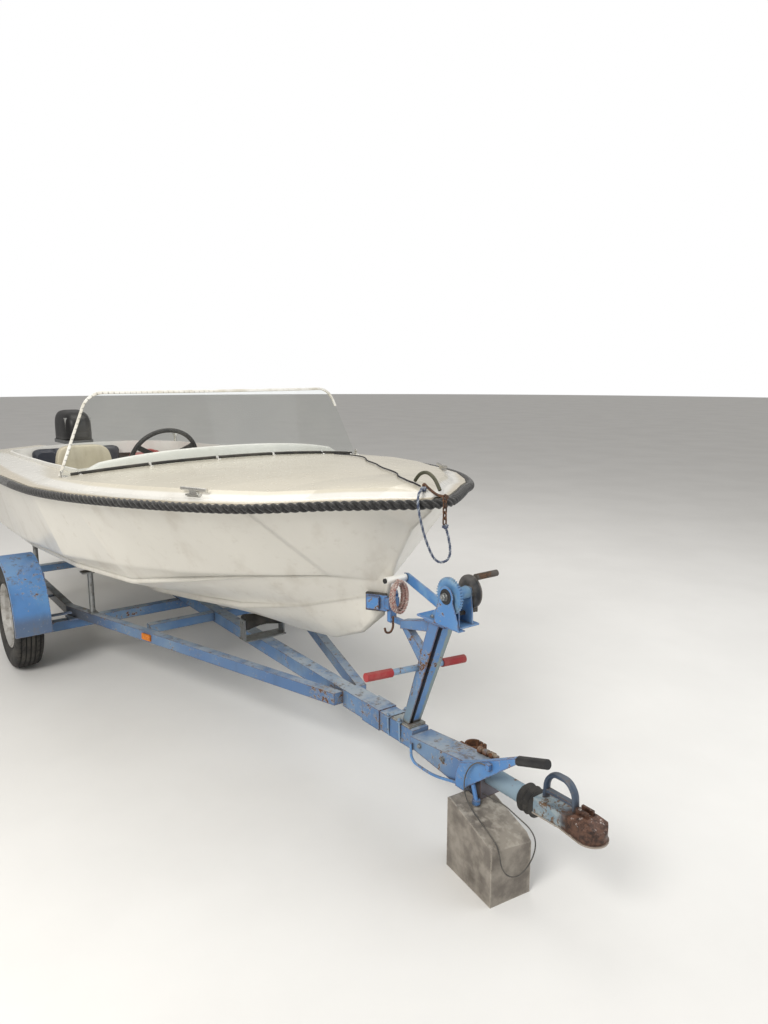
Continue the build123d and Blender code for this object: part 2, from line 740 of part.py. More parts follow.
def make_outboard_clamp():
    """Bracket hung over the transom with two clamp screws and the tilt tube's ears."""
    aft = TRANSOM_X - SEAT_GAP
    fore = TRANSOM_X + TRANSOM_T + SEAT_GAP
    top = TRANSOM_CUT_Z + SEAT_GAP
    pieces = []
    for side in (-1, 1):
        y0, y1 = sorted((side * 82, side * 100))
        arm = block(aft - 18, aft, y0, y1, top - 210, top + 14)
        bridge = block(aft - 18, fore + 16, y0, y1, top, top + 16)
        front = block(fore + 4, fore + 16, y0, y1, top - 80, top + 2)
        ear = block(TILT_AXIS_X - 20, aft - 6, y0, y1, top - 30, TILT_AXIS_Z + 22)
        screw = rod((fore + SEAT_GAP, side * 91, top - 70), (fore + 90, side * 91, top - 70), 7)
        bar = rod((fore + 84, side * 91 - 40, top - 70), (fore + 84, side * 91 + 40, top - 70), 5)
        pieces.append(arm + bridge + front + ear + screw + bar)
    brace = block(aft - 14, aft, -82, 82, top - 200, top - 160)
    bolt = rod((TILT_AXIS_X, -100, TILT_AXIS_Z), (TILT_AXIS_X, 100, TILT_AXIS_Z), 9)
    return pieces[0] + pieces[1] + brace + bolt


def make_outboard_swivel():
    """Swivel bracket that tilts about the tube and carries the steering sleeve."""
    barrel = rod((TILT_AXIS_X, -76, TILT_AXIS_Z), (TILT_AXIS_X, 76, TILT_AXIS_Z), 20)
    arm = block(STEER_AXIS_X, TILT_AXIS_X, -50, 50, TILT_AXIS_Z - 30, TILT_AXIS_Z + 14)
    sleeve = rod((STEER_AXIS_X, 0, 700), (STEER_AXIS_X, 0, TILT_AXIS_Z + 14), 30)
    web = plate([(STEER_AXIS_X, 720), (TILT_AXIS_X - 16, 920), (TILT_AXIS_X - 16, 950), (STEER_AXIS_X, 950)],
                Plane.XZ, 12, both=True)
    bore = rod((TILT_AXIS_X, -90, TILT_AXIS_Z), (TILT_AXIS_X, 90, TILT_AXIS_Z), 9 + RUNNING_CLEARANCE)
    shaft = rod((STEER_AXIS_X, 0, 600), (STEER_AXIS_X, 0, 1100), 17 + RUNNING_CLEARANCE)
    return barrel + arm + sleeve + web - bore - shaft


def oval(x_front, x_rear, width, z):
    """Rounded, slightly tapered cowl section on a level plane."""
    nose, tail = width * 0.31, width * 0.4
    outline = make_face(Polyline((x_front, -nose), (x_front, nose), (x_rear, tail), (x_rear, -tail), close=True))
    return Pos(0, 0, z) * fillet(outline.vertices(), width * 0.2)


def make_outboard_cowl():
    """Motor cover: a lofted hood that narrows towards its crown."""
    levels = [(0, 8, 1.0), (70, 0, 1.06), (190, 14, 0.98), (COWL_TOP_Z - COWL_LOW_Z, 46, 0.78)]
    faces = [oval(COWL_FRONT_X - inset, COWL_REAR_X + inset, COWL_W * share, COWL_LOW_Z + up)
             for up, inset, share in levels]
    hood = fillet(loft(faces, ruled=True).faces().sort_by(Axis.Z)[-1].edges(), 18)
    hollow = [oval(COWL_FRONT_X - inset - 5, COWL_REAR_X + inset + 5, COWL_W * share - 12, z)
              for z, inset, share in ((COWL_LOW_Z - 1, 8, 1.0), (COWL_LOW_Z + 70, 0, 1.06),
                                      (COWL_LOW_Z + 190, 14, 0.98), (COWL_TOP_Z - 24, 40, 0.82))]
    return hood - loft(hollow, ruled=True)


def make_engine_block():
    """Plain block with the mass of the powerhead, standing on the pan."""
    return block(COWL_REAR_X + 70, COWL_FRONT_X - 60, -95, 95, COWL_LOW_Z, COWL_LOW_Z + 170)


def make_outboard_leg():
    """Midsection, anti-ventilation plate, gearcase and skeg."""
    lower_pan = oval(COWL_FRONT_X - 10, COWL_REAR_X + 10, COWL_W * 0.98, COWL_LOW_Z - 26)
    pan = extrude(lower_pan, amount=26 - SEAT_GAP)
    shaft = rod((STEER_AXIS_X, 0, 690), (STEER_AXIS_X, 0, COWL_LOW_Z - 20), 17)
    yoke = block(STEER_AXIS_X - 90, STEER_AXIS_X - 38, -45, 45, 640, COWL_LOW_Z - 20)
    foot = block(STEER_AXIS_X - 90, STEER_AXIS_X + 18, -36, 36, 650, 692)
    mid = loft([Pos(STEER_AXIS_X - 70, 0, 700) * Ellipse(85, 42), Pos(STEER_AXIS_X - 74, 0, PLATE_Z + 40) * Ellipse(92, 30)],
               ruled=True)
    plate_outline = make_face(Polyline((-1800, 0), (-1850, 40), (-2190, 70), (OUTBOARD_REAR_X, 40),
                                       (OUTBOARD_REAR_X, -40), (-2190, -70), (-1850, -40), close=True))
    wing = extrude(Pos(0, 0, PLATE_Z) * plate_outline, amount=8)
    strut = loft([Pos(STEER_AXIS_X - 74, 0, PLATE_Z + 40) * Ellipse(92, 30), Pos(STEER_AXIS_X - 62, 0, SHAFT_Z + 20) * Ellipse(100, 20)],
                 ruled=True)
    nose = PROPELLER_X + 330
    torpedo = revolve(make_face([ThreePointArc((nose, 0, SHAFT_Z), (nose - 50, 0, SHAFT_Z + 27), (nose - 150, 0, SHAFT_Z + 36)),
                                 Polyline((nose - 150, 0, SHAFT_Z + 36), (PROPELLER_X + 55, 0, SHAFT_Z + 36),
                                          (PROPELLER_X + 45, 0, SHAFT_Z + 26), (PROPELLER_X + 45, 0, SHAFT_Z),
                                          (nose, 0, SHAFT_Z))]),
                      Axis((0, 0, SHAFT_Z), (1, 0, 0)))
    skeg = plate([(nose - 120, SHAFT_Z - 20), (PROPELLER_X + 70, SHAFT_Z - 20), (PROPELLER_X + 20, SKEG_Z),
                  (PROPELLER_X + 70, SKEG_Z)], Plane.XZ, 5, both=True)
    stub = rod((PROPELLER_X - 60, 0, SHAFT_Z), (PROPELLER_X + 50, 0, SHAFT_Z), 9)
    return pan + shaft + yoke + foot + mid + wing + strut + torpedo + skeg + stub


def make_propeller():
    """Three-bladed propeller on a tapered boss."""
    boss = revolve(make_face(Polyline((PROPELLER_X - 52, 0, SHAFT_Z), (PROPELLER_X - 52, 0, SHAFT_Z + 20),
                                      (PROPELLER_X + 38, 0, SHAFT_Z + 32), (PROPELLER_X + 38, 0, SHAFT_Z),
                                      close=True)), Axis((0, 0, SHAFT_Z), (1, 0, 0)))
    prop = boss
    for index in range(3):
        blade = make_face(Polyline((20, -16), (60, -44), (100, -46), (PROPELLER_R, -14), (PROPELLER_R, 10),
                                   (100, 34), (60, 38), (20, 20), close=True))
        solid = extrude(blade, amount=3, both=True)
        solid = Pos(PROPELLER_X, 0, SHAFT_Z) * Rot(120 * index, 0, 0) * Rot(0, 0, 0) * Rot(0, -90, 0) * Rot(28, 0, 0) * solid
        prop += solid
    bore = rod((PROPELLER_X - 80, 0, SHAFT_Z), (PROPELLER_X + 60, 0, SHAFT_Z), 9 + RUNNING_CLEARANCE)
    return prop - bore


def turned(points, centre_y, z):
    """Solid of revolution about a wheel axle: points are (radius, y) from the wheel's middle."""
    outline = make_face(Polyline(*[(0, centre_y + y, z + r) for r, y in points], close=True))
    return revolve(outline, Axis((0, centre_y, z), (0, 1, 0)))


def make_tyre(side):
    """Road tyre with square shoulders and a rounded sidewall."""
    half = TYRE_W / 2
    points = [(RIM_R + SEAT_GAP, -half + 12), (RIM_R + 45, -half), (TYRE_R - 34, -half + 2), (TYRE_R - 6, -half + 14),
              (TYRE_R, -half + 30), (TYRE_R, half - 30), (TYRE_R - 6, half - 14), (TYRE_R - 34, half - 2),
              (RIM_R + 45, half), (RIM_R + SEAT_GAP, half - 12)]
    return turned(points, side * TRACK_HALF, TYRE_R)


def make_rim(side):
    """Pressed steel wheel: well, dished disc, four stud holes, hub and cap."""
    out = side
    points = [(RIM_R, -58), (RIM_R, 58), (RIM_R - 5, 58), (RIM_R - 18, 40), (RIM_R - 24, 0), (RIM_R - 18, -40),
              (RIM_R - 5, -58)]
    barrel = turned(points, side * TRACK_HALF, TYRE_R)
    disc = turned([(HUB_BORE_R, out * 12), (96, out * 12), (118, out * 26), (RIM_R - 22, out * 14),
                   (RIM_R - 22, out * 9), (118, out * 21), (96, out * 7), (HUB_BORE_R, out * 7)],
                  side * TRACK_HALF, TYRE_R)
    hub = turned([(SPINDLE_R + RUNNING_CLEARANCE, out * -64), (34, out * -64), (34, out * -10), (HUB_R, out * -8),
                  (HUB_R, out * 7), (HUB_BORE_R, out * 7), (34, out * 30), (22, out * 44), (0, out * 44),
                  (0, out * 34), (SPINDLE_R + RUNNING_CLEARANCE, out * 34)], side * TRACK_HALF, TYRE_R)
    wheel = barrel + disc + hub
    for index in range(4):
        angle = radians(45 + 90 * index)
        x, z = STUD_CIRCLE_R * cos(angle), TYRE_R + STUD_CIRCLE_R * sin(angle)
        y = side * (TRACK_HALF + 12)
        wheel += rod((x, y, z), (x, y + side * 14, z), 9)
    return wheel


def make_axle():
    """Square torsion tube under the frame with a trailing arm and spindle at each end."""
    half = AXLE_TUBE / 2
    low, high = AXLE_TUBE_Z - half, AXLE_TUBE_Z + half
    beam = block(AXLE_TUBE_X - half, AXLE_TUBE_X + half, -738, 738, low, high)
    for side in (-1, 1):
        arm = [(AXLE_TUBE_X + half, low), (AXLE_TUBE_X + half, high), (12, TYRE_R + 30), (-24, TYRE_R + 16),
               (-24, TYRE_R - 20), (AXLE_TUBE_X - half, low)]
        beam += Pos(0, side * 748, 0) * plate(arm, Plane.XZ, 10, both=True)
        beam += rod((0, side * 750, TYRE_R), (0, side * (TRACK_HALF + 30), TYRE_R), SPINDLE_R)
        beam += rod((0, side * 750, TYRE_R), (0, side * (TRACK_HALF - 66), TYRE_R), 28)
        pad_y = side * MEMBER_KNEE_Y
        beam += block(AXLE_TUBE_X - 50, AXLE_TUBE_X + 50, pad_y - 30, pad_y + 30, high, MEMBER_TOP_Z - MEMBER_H - SEAT_GAP)
    return beam


def make_mudguard(side):
    """Half-round steel guard with a turned outer lip and two stays to the frame."""
    outer_y = side * (TRACK_HALF + 78)
    inner_y = outer_y - side * GUARD_W
    profile = make_face(Polyline((GUARD_R - GUARD_T, inner_y, TYRE_R), (GUARD_R, inner_y, TYRE_R),
                                 (GUARD_R, outer_y, TYRE_R), (GUARD_R - GUARD_LIP, outer_y, TYRE_R),
                                 (GUARD_R - GUARD_LIP, outer_y - side * GUARD_T, TYRE_R),
                                 (GUARD_R - GUARD_T, outer_y - side * GUARD_T, TYRE_R), close=True))
    axis = Axis((0, 0, TYRE_R), (0, -1, 0))
    guard = revolve(profile.rotate(axis, GUARD_FROM), axis, revolution_arc=GUARD_TO - GUARD_FROM)
    inner = sorted((inner_y, side * (MEMBER_KNEE_Y + MEMBER_W / 2 + SEAT_GAP)))
    for x in (-190, 190):
        reach = sqrt((GUARD_R - 1) ** 2 - x ** 2)
        stay_z = TYRE_R + reach
        bracket = block(x - 15, x + 15, inner[0], inner[1], MEMBER_TOP_Z - 12, MEMBER_TOP_Z - 6)
        y = sorted((inner_y, inner_y - side * 6))
        bracket += block(x - 15, x + 15, y[0], y[1], MEMBER_TOP_Z - 12, stay_z - 4)
        guard += bracket
    return guard


def make_drawbar():
    """Central box beam with the larger front sleeve that holds the coupling."""
    beam = block(FRAME_AFT_X + 30, SLEEVE_AFT_X + 120, -BAR_W / 2, BAR_W / 2, BAR_TOP_Z - BAR_W, BAR_TOP_Z)
    top = BAR_TOP_Z + (SLEEVE_W - BAR_W) / 2
    sleeve = block(SLEEVE_AFT_X, SLEEVE_FRONT_X, -SLEEVE_W / 2, SLEEVE_W / 2, top - SLEEVE_W, top)
    collar = block(SLEEVE_AFT_X + 140, SLEEVE_AFT_X + 250, -SLEEVE_W / 2 - 4, SLEEVE_W / 2 + 4, top - SLEEVE_W - 4, top + 4)
    return beam + sleeve + collar


def make_side_member(side):
    """Box beam that spreads from the drawbar to the wheel, then runs aft along it."""
    front_y = BAR_W / 2 + MEMBER_W / 2 + SEAT_GAP + 6
    centre = [(FRAME_AFT_X, MEMBER_KNEE_Y), (MEMBER_KNEE_X, MEMBER_KNEE_Y), (MEMBER_FRONT_X, front_y)]
    heading = atan2(MEMBER_KNEE_Y - front_y, MEMBER_FRONT_X - MEMBER_KNEE_X)
    across = MEMBER_W / 2 / cos(heading)
    skew = MEMBER_W / 2 * tan(heading / 2)
    outer = [(x, y + MEMBER_W / 2) for x, y in centre[:1]] + [(MEMBER_KNEE_X + skew, MEMBER_KNEE_Y + MEMBER_W / 2),
                                                             (MEMBER_FRONT_X, front_y + across)]
    inner = [(MEMBER_FRONT_X, front_y - across), (MEMBER_KNEE_X - skew, MEMBER_KNEE_Y - MEMBER_W / 2),
             (FRAME_AFT_X, MEMBER_KNEE_Y - MEMBER_W / 2)]
    points = [(x, side * y) for x, y in outer + inner]
    beam = plate(points, Plane.XY.offset(MEMBER_TOP_Z - MEMBER_H), MEMBER_H)
    bar = block(FRAME_AFT_X, SLEEVE_FRONT_X, -BAR_W / 2 - SEAT_GAP, BAR_W / 2 + SEAT_GAP, 0, 600)
    sleeve = block(SLEEVE_AFT_X - SEAT_GAP, SLEEVE_FRONT_X, -SLEEVE_W / 2 - 5, SLEEVE_W / 2 + 5, 0, 600)
    return beam - bar - sleeve


def make_cross_members():
    """Rear, middle and front cross members of the frame."""
    pieces = []
    reach = MEMBER_KNEE_Y - MEMBER_W / 2 - SEAT_GAP
    for x, half, width in ((FRAME_AFT_X + 25, reach, 50), (640, 375, 44)):
        for side in (-1, 1):
            y = sorted((side * (BAR_W / 2 + SEAT_GAP), side * half))
            pieces.append(block(x - width / 2, x + width / 2, y[0], y[1], MEMBER_TOP_Z - 46, MEMBER_TOP_Z - 2))
    return pieces


def hull_bottom_z(x, y):
    """Height of the outside of the bottom between the inner strake and the chine."""
    row = hull_at(x)
    y2, z2, y1, z1 = row[2] - 0.6 * RAIL_W, row[3] + RAIL_H, row[4] - RAIL_W, row[5] - 0.2 * RAIL_H
    return z2 + (z1 - z2) * (y - y2) / (y1 - y2)


def make_bunk_boards():
    """Padded timber bearers under the bottom, shaped to it."""
    near, far = BUNK_Y - BUNK_W / 2, BUNK_Y + BUNK_W / 2
    wires = []
    for x in (BUNK_AFT_X, 0, BUNK_FRONT_X):
        z_near, z_far = (hull_bottom_z(x, y) - SEAT_GAP for y in (near, far))
        corners = [(near, z_near), (far, z_far), (far, z_far - BUNK_T), (near, z_near - BUNK_T)]
        wires.append(Wire.make_polygon([Vector(x, -y, z) for y, z in corners], close=True))
    return mirrored(Solid.make_loft(wires, ruled=True))


def make_bunk_posts():
    """Adjustable posts that hold the bunks above the side members."""
    posts = []
    for side in (-1, 1):
        for x in (BUNK_AFT_X + 150, BUNK_FRONT_X - 130):
            y = side * (MEMBER_KNEE_Y if x < MEMBER_KNEE_X else BUNK_Y)
            top = hull_bottom_z(x, BUNK_Y) - BUNK_T - 24
            member_y = side * (MEMBER_KNEE_Y - max(0, x - MEMBER_KNEE_X) * 0.3)
            post = rod((x, member_y, MEMBER_TOP_Z + SEAT_GAP), (x, member_y, top - 8), 14)
            head_y = sorted((member_y - side * 10, side * (BUNK_Y - BUNK_W / 2), side * (BUNK_Y + BUNK_W / 2), member_y + side * 10))
            head = block(x - 30, x + 30, head_y[0], head_y[-1], top - 10, top - 2)
            foot = block(x - 35, x + 35, member_y - 19, member_y + 19, MEMBER_TOP_Z + SEAT_GAP, MEMBER_TOP_Z + 8)
            posts.append(post + head + foot)
    return posts


def keel_z(x):
    """Height of the underside of the keel."""
    return hull_at(x)[1]


def roller_axis_z(x):
    """Height of a keel roller's spindle, so that its waist meets the keel."""
    return keel_z(x) - SEAT_GAP - ROLLER_R * 0.72


def make_keel_rollers():
    """Rubber keel rollers, narrower at the waist."""
    rollers = []
    half = ROLLER_L / 2
    for x in ROLLER_XS:
        z = roller_axis_z(x)
        waist = ROLLER_R * 0.72
        points = [(6 + RUNNING_CLEARANCE, -half), (ROLLER_R, -half), (ROLLER_R, -half + 14), (waist, -18), (waist, 18),
                  (ROLLER_R, half - 14), (ROLLER_R, half), (6 + RUNNING_CLEARANCE, half)]
        outline = make_face(Polyline(*[(x, y, z + r) for r, y in points], close=True))
        rollers.append(revolve(outline, Axis((x, 0, z), (0, 1, 0))))
    return rollers


def make_roller_brackets():
    """U brackets on the drawbar with a spindle through each roller."""
    brackets = []
    half = ROLLER_L / 2
    for x in ROLLER_XS:
        z = roller_axis_z(x)
        low = BAR_TOP_Z + SEAT_GAP
        foot = block(x - 40, x + 40, -half - 10, half + 10, low, low + 6)
        bracket = foot + rod((x, -half - 14, z), (x, half + 14, z), 6)
        for side in (-1, 1):
            y = sorted((side * (half + 3), side * (half + 9)))
            bracket += block(x - 26, x + 26, y[0], y[1], low, z + 16)
        brackets.append(bracket)
    return brackets


def post_low_z():
    """Height of the top of the front sleeve, where the post's foot plate sits."""
    return BAR_TOP_Z + (SLEEVE_W - BAR_W) / 2 + SEAT_GAP


def post_rear_x(z):
    """X of the rear face of the winch post at a height."""
    low = post_low_z() + 4
    return POST_FOOT_X - 25 + (POST_HEAD_X - POST_FOOT_X) * (z - low) / (POST_HEAD_Z - low)


def post_profile(wall, front_extra):
    """Side outline of the post, which is deeper at its head than at its foot."""
    low = post_low_z() + 4
    rear_low, rear_top = post_rear_x(low) + wall, post_rear_x(POST_HEAD_Z) + wall
    return plate([(rear_low, low), (rear_low + POST_FOOT_DEPTH + front_extra, low),
                  (rear_top + POST_HEAD_DEPTH + front_extra, POST_HEAD_Z), (rear_top, POST_HEAD_Z)],
                 Plane.XZ, 100, both=True)


def channel_band(side, wall):
    """Front outline of one of the post's two channels, carried through the whole depth."""
    low = post_low_z() + 4
    points = [(side * (GAP_FOOT / 2 + wall), low), (side * (POST_FOOT_HALF - wall), low),
              (side * (POST_HEAD_HALF - wall), POST_HEAD_Z), (side * (GAP_HEAD / 2 + wall), POST_HEAD_Z)]
    return Pos(POST_FOOT_X - 100, 0, 0) * plate(points, Plane.YZ, 400)


def handle_point(reach):
    """Point on the cross handle's axis, measured to port from the post's middle."""
    roll = radians(HANDLE_ROLL)
    return HANDLE_X, reach * cos(roll), HANDLE_Z - reach * sin(roll)


def make_winch_post():
    """Two leaning channels on a foot plate, a head plate, and the braced knee behind them."""
    low = post_low_z()
    post = block(POST_FOOT_X - 70, POST_FOOT_X + 30, -36, 36, low, low + 8)
    for side in (-1, 1):
        channel = post_profile(0, 0) & channel_band(side, 0)
        hollow = post_profile(CHANNEL_T, 60) & channel_band(side, CHANNEL_T)
        post += channel - (hollow & block(0, 5000, -200, 200, low + 8, 5000))
    post += block(POST_HEAD_X - 46, POST_HEAD_X + 60, -45, 45, POST_HEAD_Z - 6, POST_HEAD_Z + 4)
    rear = post_rear_x(POST_HEAD_Z) + 8
    knee = plate([(KNEE_AFT_X, KNEE_AFT_Z), (KNEE_AFT_X, KNEE_AFT_Z + 30), (rear, POST_HEAD_Z - 4),
                  (rear, POST_HEAD_Z - 46)], Plane.XZ, 18, both=True)
    foot, top = HANDLE_Z + 16, HANDLE_Z + 48
    strut = plate([(KNEE_AFT_X + 2, KNEE_AFT_Z + 6), (KNEE_AFT_X + 30, KNEE_AFT_Z + 12), (post_rear_x(top) + 4, top),
                   (post_rear_x(foot) + 4, foot), (post_rear_x(foot) - 18, foot)], Plane.XZ, 14, both=True)
    return post + knee + strut - rod(handle_point(-100), handle_point(100), HANDLE_R + SEAT_GAP)


def make_handle_bar():
    """Cross bar let into the rear of the post, knocked askew."""
    return rod(handle_point(-HANDLE_STARBOARD), handle_point(HANDLE_PORT), HANDLE_R)


def make_handle_grips():
    """Rubber grips on the ends of the cross handle."""
    grips = []
    for side, end in ((-1, HANDLE_STARBOARD), (1, HANDLE_PORT)):
        inner, tip = handle_point(side * (end + 4 - GRIP_L)), handle_point(side * (end + 4))
        bore_end = handle_point(side * (end + SEAT_GAP))
        grips.append(rod(inner, tip, GRIP_R) - rod(inner, bore_end, HANDLE_R + SEAT_GAP))
    return grips


def pinion_centre():
    """Place of the crank's pinion, in mesh with the drum gear."""
    distance = GEAR_R * (1 + PINION_TEETH / GEAR_TEETH) + 2 * SEAT_GAP
    angle = radians(PINION_ANGLE)
    return DRUM_X + distance * cos(angle), DRUM_Z + distance * sin(angle)


def make_winch_frame():
    """Floor with two upright cheeks for the drum and pinion, and the flat arm to the stem roller."""
    pinion_x, pinion_z = pinion_centre()
    low = POST_HEAD_Z + 4 + SEAT_GAP
    frame = block(POST_HEAD_X - 76, DRUM_X + 30, -50, REST_ARM_Y + 6, low, low + 6)
    cheek = [(POST_HEAD_X - 36, low), (DRUM_X + 26, low), (DRUM_X + 24, pinion_z + 12), (DRUM_X + 16, DRUM_Z + 18),
             (DRUM_X - 16, DRUM_Z + 18), (POST_HEAD_X - 16, low + 22)]
    for side in (-1, 1):
        middle = side * (CHEEK_Y - CHEEK_T / 2)
        frame += Pos(0, middle, 0) * plate(cheek, Plane.XZ, CHEEK_T / 2, both=True)
    arm = plate([(STEM_REST_X - 13, STEM_REST_Z - 15), (STEM_REST_X - 13, STEM_REST_Z + 13),
                 (STEM_REST_X + 8, STEM_REST_Z + 16), (POST_HEAD_X - 16, low + 24), (POST_HEAD_X - 16, low),
                 (POST_HEAD_X - 72, low)], Plane.XZ.offset(-REST_ARM_Y - 6), 6)
    half = STEM_REST_L / 2
    spindle = rod((STEM_REST_X, -half - 4, STEM_REST_Z), (STEM_REST_X, REST_ARM_Y + 4, STEM_REST_Z), 5)
    cap = rod((STEM_REST_X, -half - 6, STEM_REST_Z), (STEM_REST_X, -half - SEAT_GAP, STEM_REST_Z), 9)
    bores = rod((pinion_x, -60, pinion_z), (pinion_x, 60, pinion_z), CRANK_SHAFT_R + RUNNING_CLEARANCE)
    bores += rod((DRUM_X, -60, DRUM_Z), (DRUM_X, 60, DRUM_Z), AXLE_R + RUNNING_CLEARANCE)
    return frame + arm + spindle + cap - bores


def gear_outline(x, z, teeth, radius, phase):
    """Spur gear outline with straight-flanked teeth."""
    module = 2 * radius / teeth
    points = []
    for index in range(teeth):
        for share, height in ((-0.36, -1.15), (-0.14, 0.85), (0.14, 0.85), (0.36, -1.15)):
            angle = radians(phase + 360 * (index + share) / teeth)
            r = radius + height * module
            points.append((x + r * cos(angle), z + r * sin(angle)))
    return points


def make_winch_drum():
    """Spool between the cheeks, its big gear outside one and a plain disc outside the other."""
    axle = rod((DRUM_X, GEAR_Y - 12, DRUM_Z), (DRUM_X, FLANGE_Y + 9, DRUM_Z), AXLE_R)
    reach = CHEEK_Y - CHEEK_T - SEAT_GAP
    spool = rod((DRUM_X, -reach, DRUM_Z), (DRUM_X, reach, DRUM_Z), DRUM_R)
    gear = plate(gear_outline(DRUM_X, DRUM_Z, GEAR_TEETH, GEAR_R, PINION_ANGLE), Plane.XZ.offset(-GEAR_Y), GEAR_T)
    gear_hub = rod((DRUM_X, GEAR_Y - 2, DRUM_Z), (DRUM_X, -CHEEK_Y - SEAT_GAP, DRUM_Z), 18)
    disc = rod((DRUM_X, FLANGE_Y, DRUM_Z), (DRUM_X, FLANGE_Y + 5, DRUM_Z), FLANGE_R)
    disc_hub = rod((DRUM_X, CHEEK_Y + SEAT_GAP, DRUM_Z), (DRUM_X, FLANGE_Y + 2, DRUM_Z), 18)
    return axle + spool + gear + gear_hub + disc + disc_hub


def make_winch_crank():
    """Pinion on its cross shaft, with the bent crank and handle on the port side."""
    x, z = pinion_centre()
    phase = degrees(atan2(DRUM_Z - z, DRUM_X - x)) + 180 / PINION_TEETH
    pinion = plate(gear_outline(x, z, PINION_TEETH, GEAR_R * PINION_TEETH / GEAR_TEETH, phase),
                   Plane.XZ.offset(-GEAR_Y - 2), GEAR_T + 4)
    shaft = rod((x, GEAR_Y - 16, z), (x, CRANK_Y, z), CRANK_SHAFT_R)
    arm = rod((x, CRANK_Y, z - 6), (x, CRANK_Y, z + CRANK_REACH), 6)
    grip = rod((x, CRANK_Y - 5, z + CRANK_REACH), (x, CRANK_Y + 90, z + CRANK_REACH), 11)
    return pinion + shaft + arm + grip


def make_stem_roller():
    """White roller that the stem leans on."""
    y = STEM_REST_L / 2
    roller = rod((STEM_REST_X, -y, STEM_REST_Z), (STEM_REST_X, y, STEM_REST_Z), STEM_REST_R)
    return roller - rod((STEM_REST_X, -y - 1, STEM_REST_Z), (STEM_REST_X, y + 1, STEM_REST_Z), 5 + SEAT_GAP)


def stop_slab(side, along, out, low, high):
    """Upright slab of one wing of the bow stop: distances along it and outward from its inner face."""
    turn = radians(STOP_ANGLE)
    points = []
    for s, t in ((along[0], out[0]), (along[1], out[0]), (along[1], out[1]), (along[0], out[1])):
        points.append((STOP_APEX_X - s * cos(turn) + t * sin(turn), side * (s * sin(turn) + t * cos(turn))))
    return plate(points, Plane.XY.offset(low), high - low)


def make_bow_stop_pads():
    """Rubber pads of the V that the stem rests in."""
    return [stop_slab(side, (12, 88), (0, 14), STOP_LOW_Z, STOP_HIGH_Z) for side in (-1, 1)]


def make_hank():
    """Outer shape of the rope hank tied to the stem roller."""
    aft = STEM_REST_X + STEM_REST_R + SEAT_GAP
    low = STEM_REST_Z + 10 - HANK_H
    body = block(aft, aft + 34, -HANK_W / 2 - 8, HANK_W / 2 - 8, low, low + HANK_H)
    upright = body.edges().filter_by(Axis.X)
    return fillet(upright, HANK_W * 0.36)


def make_bow_stop():
    """Steel backing of the V-shaped bow stop on its short stem to the knee."""
    stop = block(STOP_APEX_X - 0.2, STOP_APEX_X + 26, -24, 24, STOP_LOW_Z + 14, STOP_HIGH_Z - 12)
    for side in (-1, 1):
        stop += stop_slab(side, (2, 84), (14 + SEAT_GAP, 19 + SEAT_GAP), STOP_LOW_Z + 4, STOP_HIGH_Z - 4)
        stop += stop_slab(side, (30, 78), (18, 34), STOP_LOW_Z + 12, STOP_HIGH_Z - 10)
    stop += block(STOP_APEX_X + 2, STOP_APEX_X + 24, -13, 13, STOP_STEM_Z - 13, STOP_LOW_Z + 20)
    stop += rod((STOP_APEX_X + 14, 0, STOP_STEM_Z), (KNEE_AFT_X - SEAT_GAP, 0, STOP_STEM_Z), 12)
    return stop


def housing_top_z(x):
    """Height of the slide housing's sloping top."""
    share = (x - SLEEVE_FRONT_X) / (HOUSING_FRONT_X - SLEEVE_FRONT_X)
    return HOUSING_AFT_TOP_Z + (HOUSING_TOP_Z - HOUSING_AFT_TOP_Z) * share


def make_overrun_housing():
    """Wedge-shaped slide housing on the front of the drawbar."""
    aft = SLEEVE_FRONT_X + SEAT_GAP
    body = plate([(aft, HOUSING_AFT_LOW_Z), (HOUSING_KNEE_X, HOUSING_LOW_Z), (HOUSING_FRONT_X, HOUSING_LOW_Z),
                  (HOUSING_FRONT_X, HOUSING_TOP_Z), (aft, HOUSING_AFT_TOP_Z)], Plane.XZ, HOUSING_W / 2, both=True)
    slide = rod((TUBE_AFT_X - SEAT_GAP, 0, TUBE_Z), (HOUSING_FRONT_X + 10, 0, TUBE_Z), TUBE_R + SEAT_GAP)
    return body - slide


def make_overrun_tube():
    """Sliding draw tube behind the coupling."""
    return rod((TUBE_AFT_X, 0, TUBE_Z), (TUBE_FRONT_X, 0, TUBE_Z), TUBE_R)


def make_bellows():
    """Rubber gaiter in three folds."""
    points = [(TUBE_R + SEAT_GAP, 0)]
    length = HEAD_AFT_X - SEAT_GAP - BELLOWS_AFT_X
    for index in range(3):
        a = index * length / 3
        points += [(TUBE_R + 5, a), (TUBE_R + 15, a + length / 6)]
    points += [(TUBE_R + 5, length), (TUBE_R + SEAT_GAP, length)]
    outline = make_face(Polyline(*[(BELLOWS_AFT_X + a, 0, TUBE_Z + r) for r, a in points], close=True))
    return revolve(outline, Axis((0, 0, TUBE_Z), (1, 0, 0)))


def head_plan(grow):
    """Plan of the coupling: a straight body that swells to a round nose."""
    waist, wide = 33 + grow, NOSE_R + grow
    aft, neck = HEAD_AFT_X, HEAD_AFT_X + 100
    return make_face([Line((aft, -waist - 3), (aft, waist + 3)), Line((aft, waist + 3), (neck, waist)),
                      Line((neck, waist), (BALL_X, wide)),
                      ThreePointArc((BALL_X, wide), (COUPLING_TIP_X - 4 + grow, 0), (BALL_X, -wide)),
                      Line((BALL_X, -wide), (neck, -waist)), Line((neck, -waist), (aft, -waist - 3))])


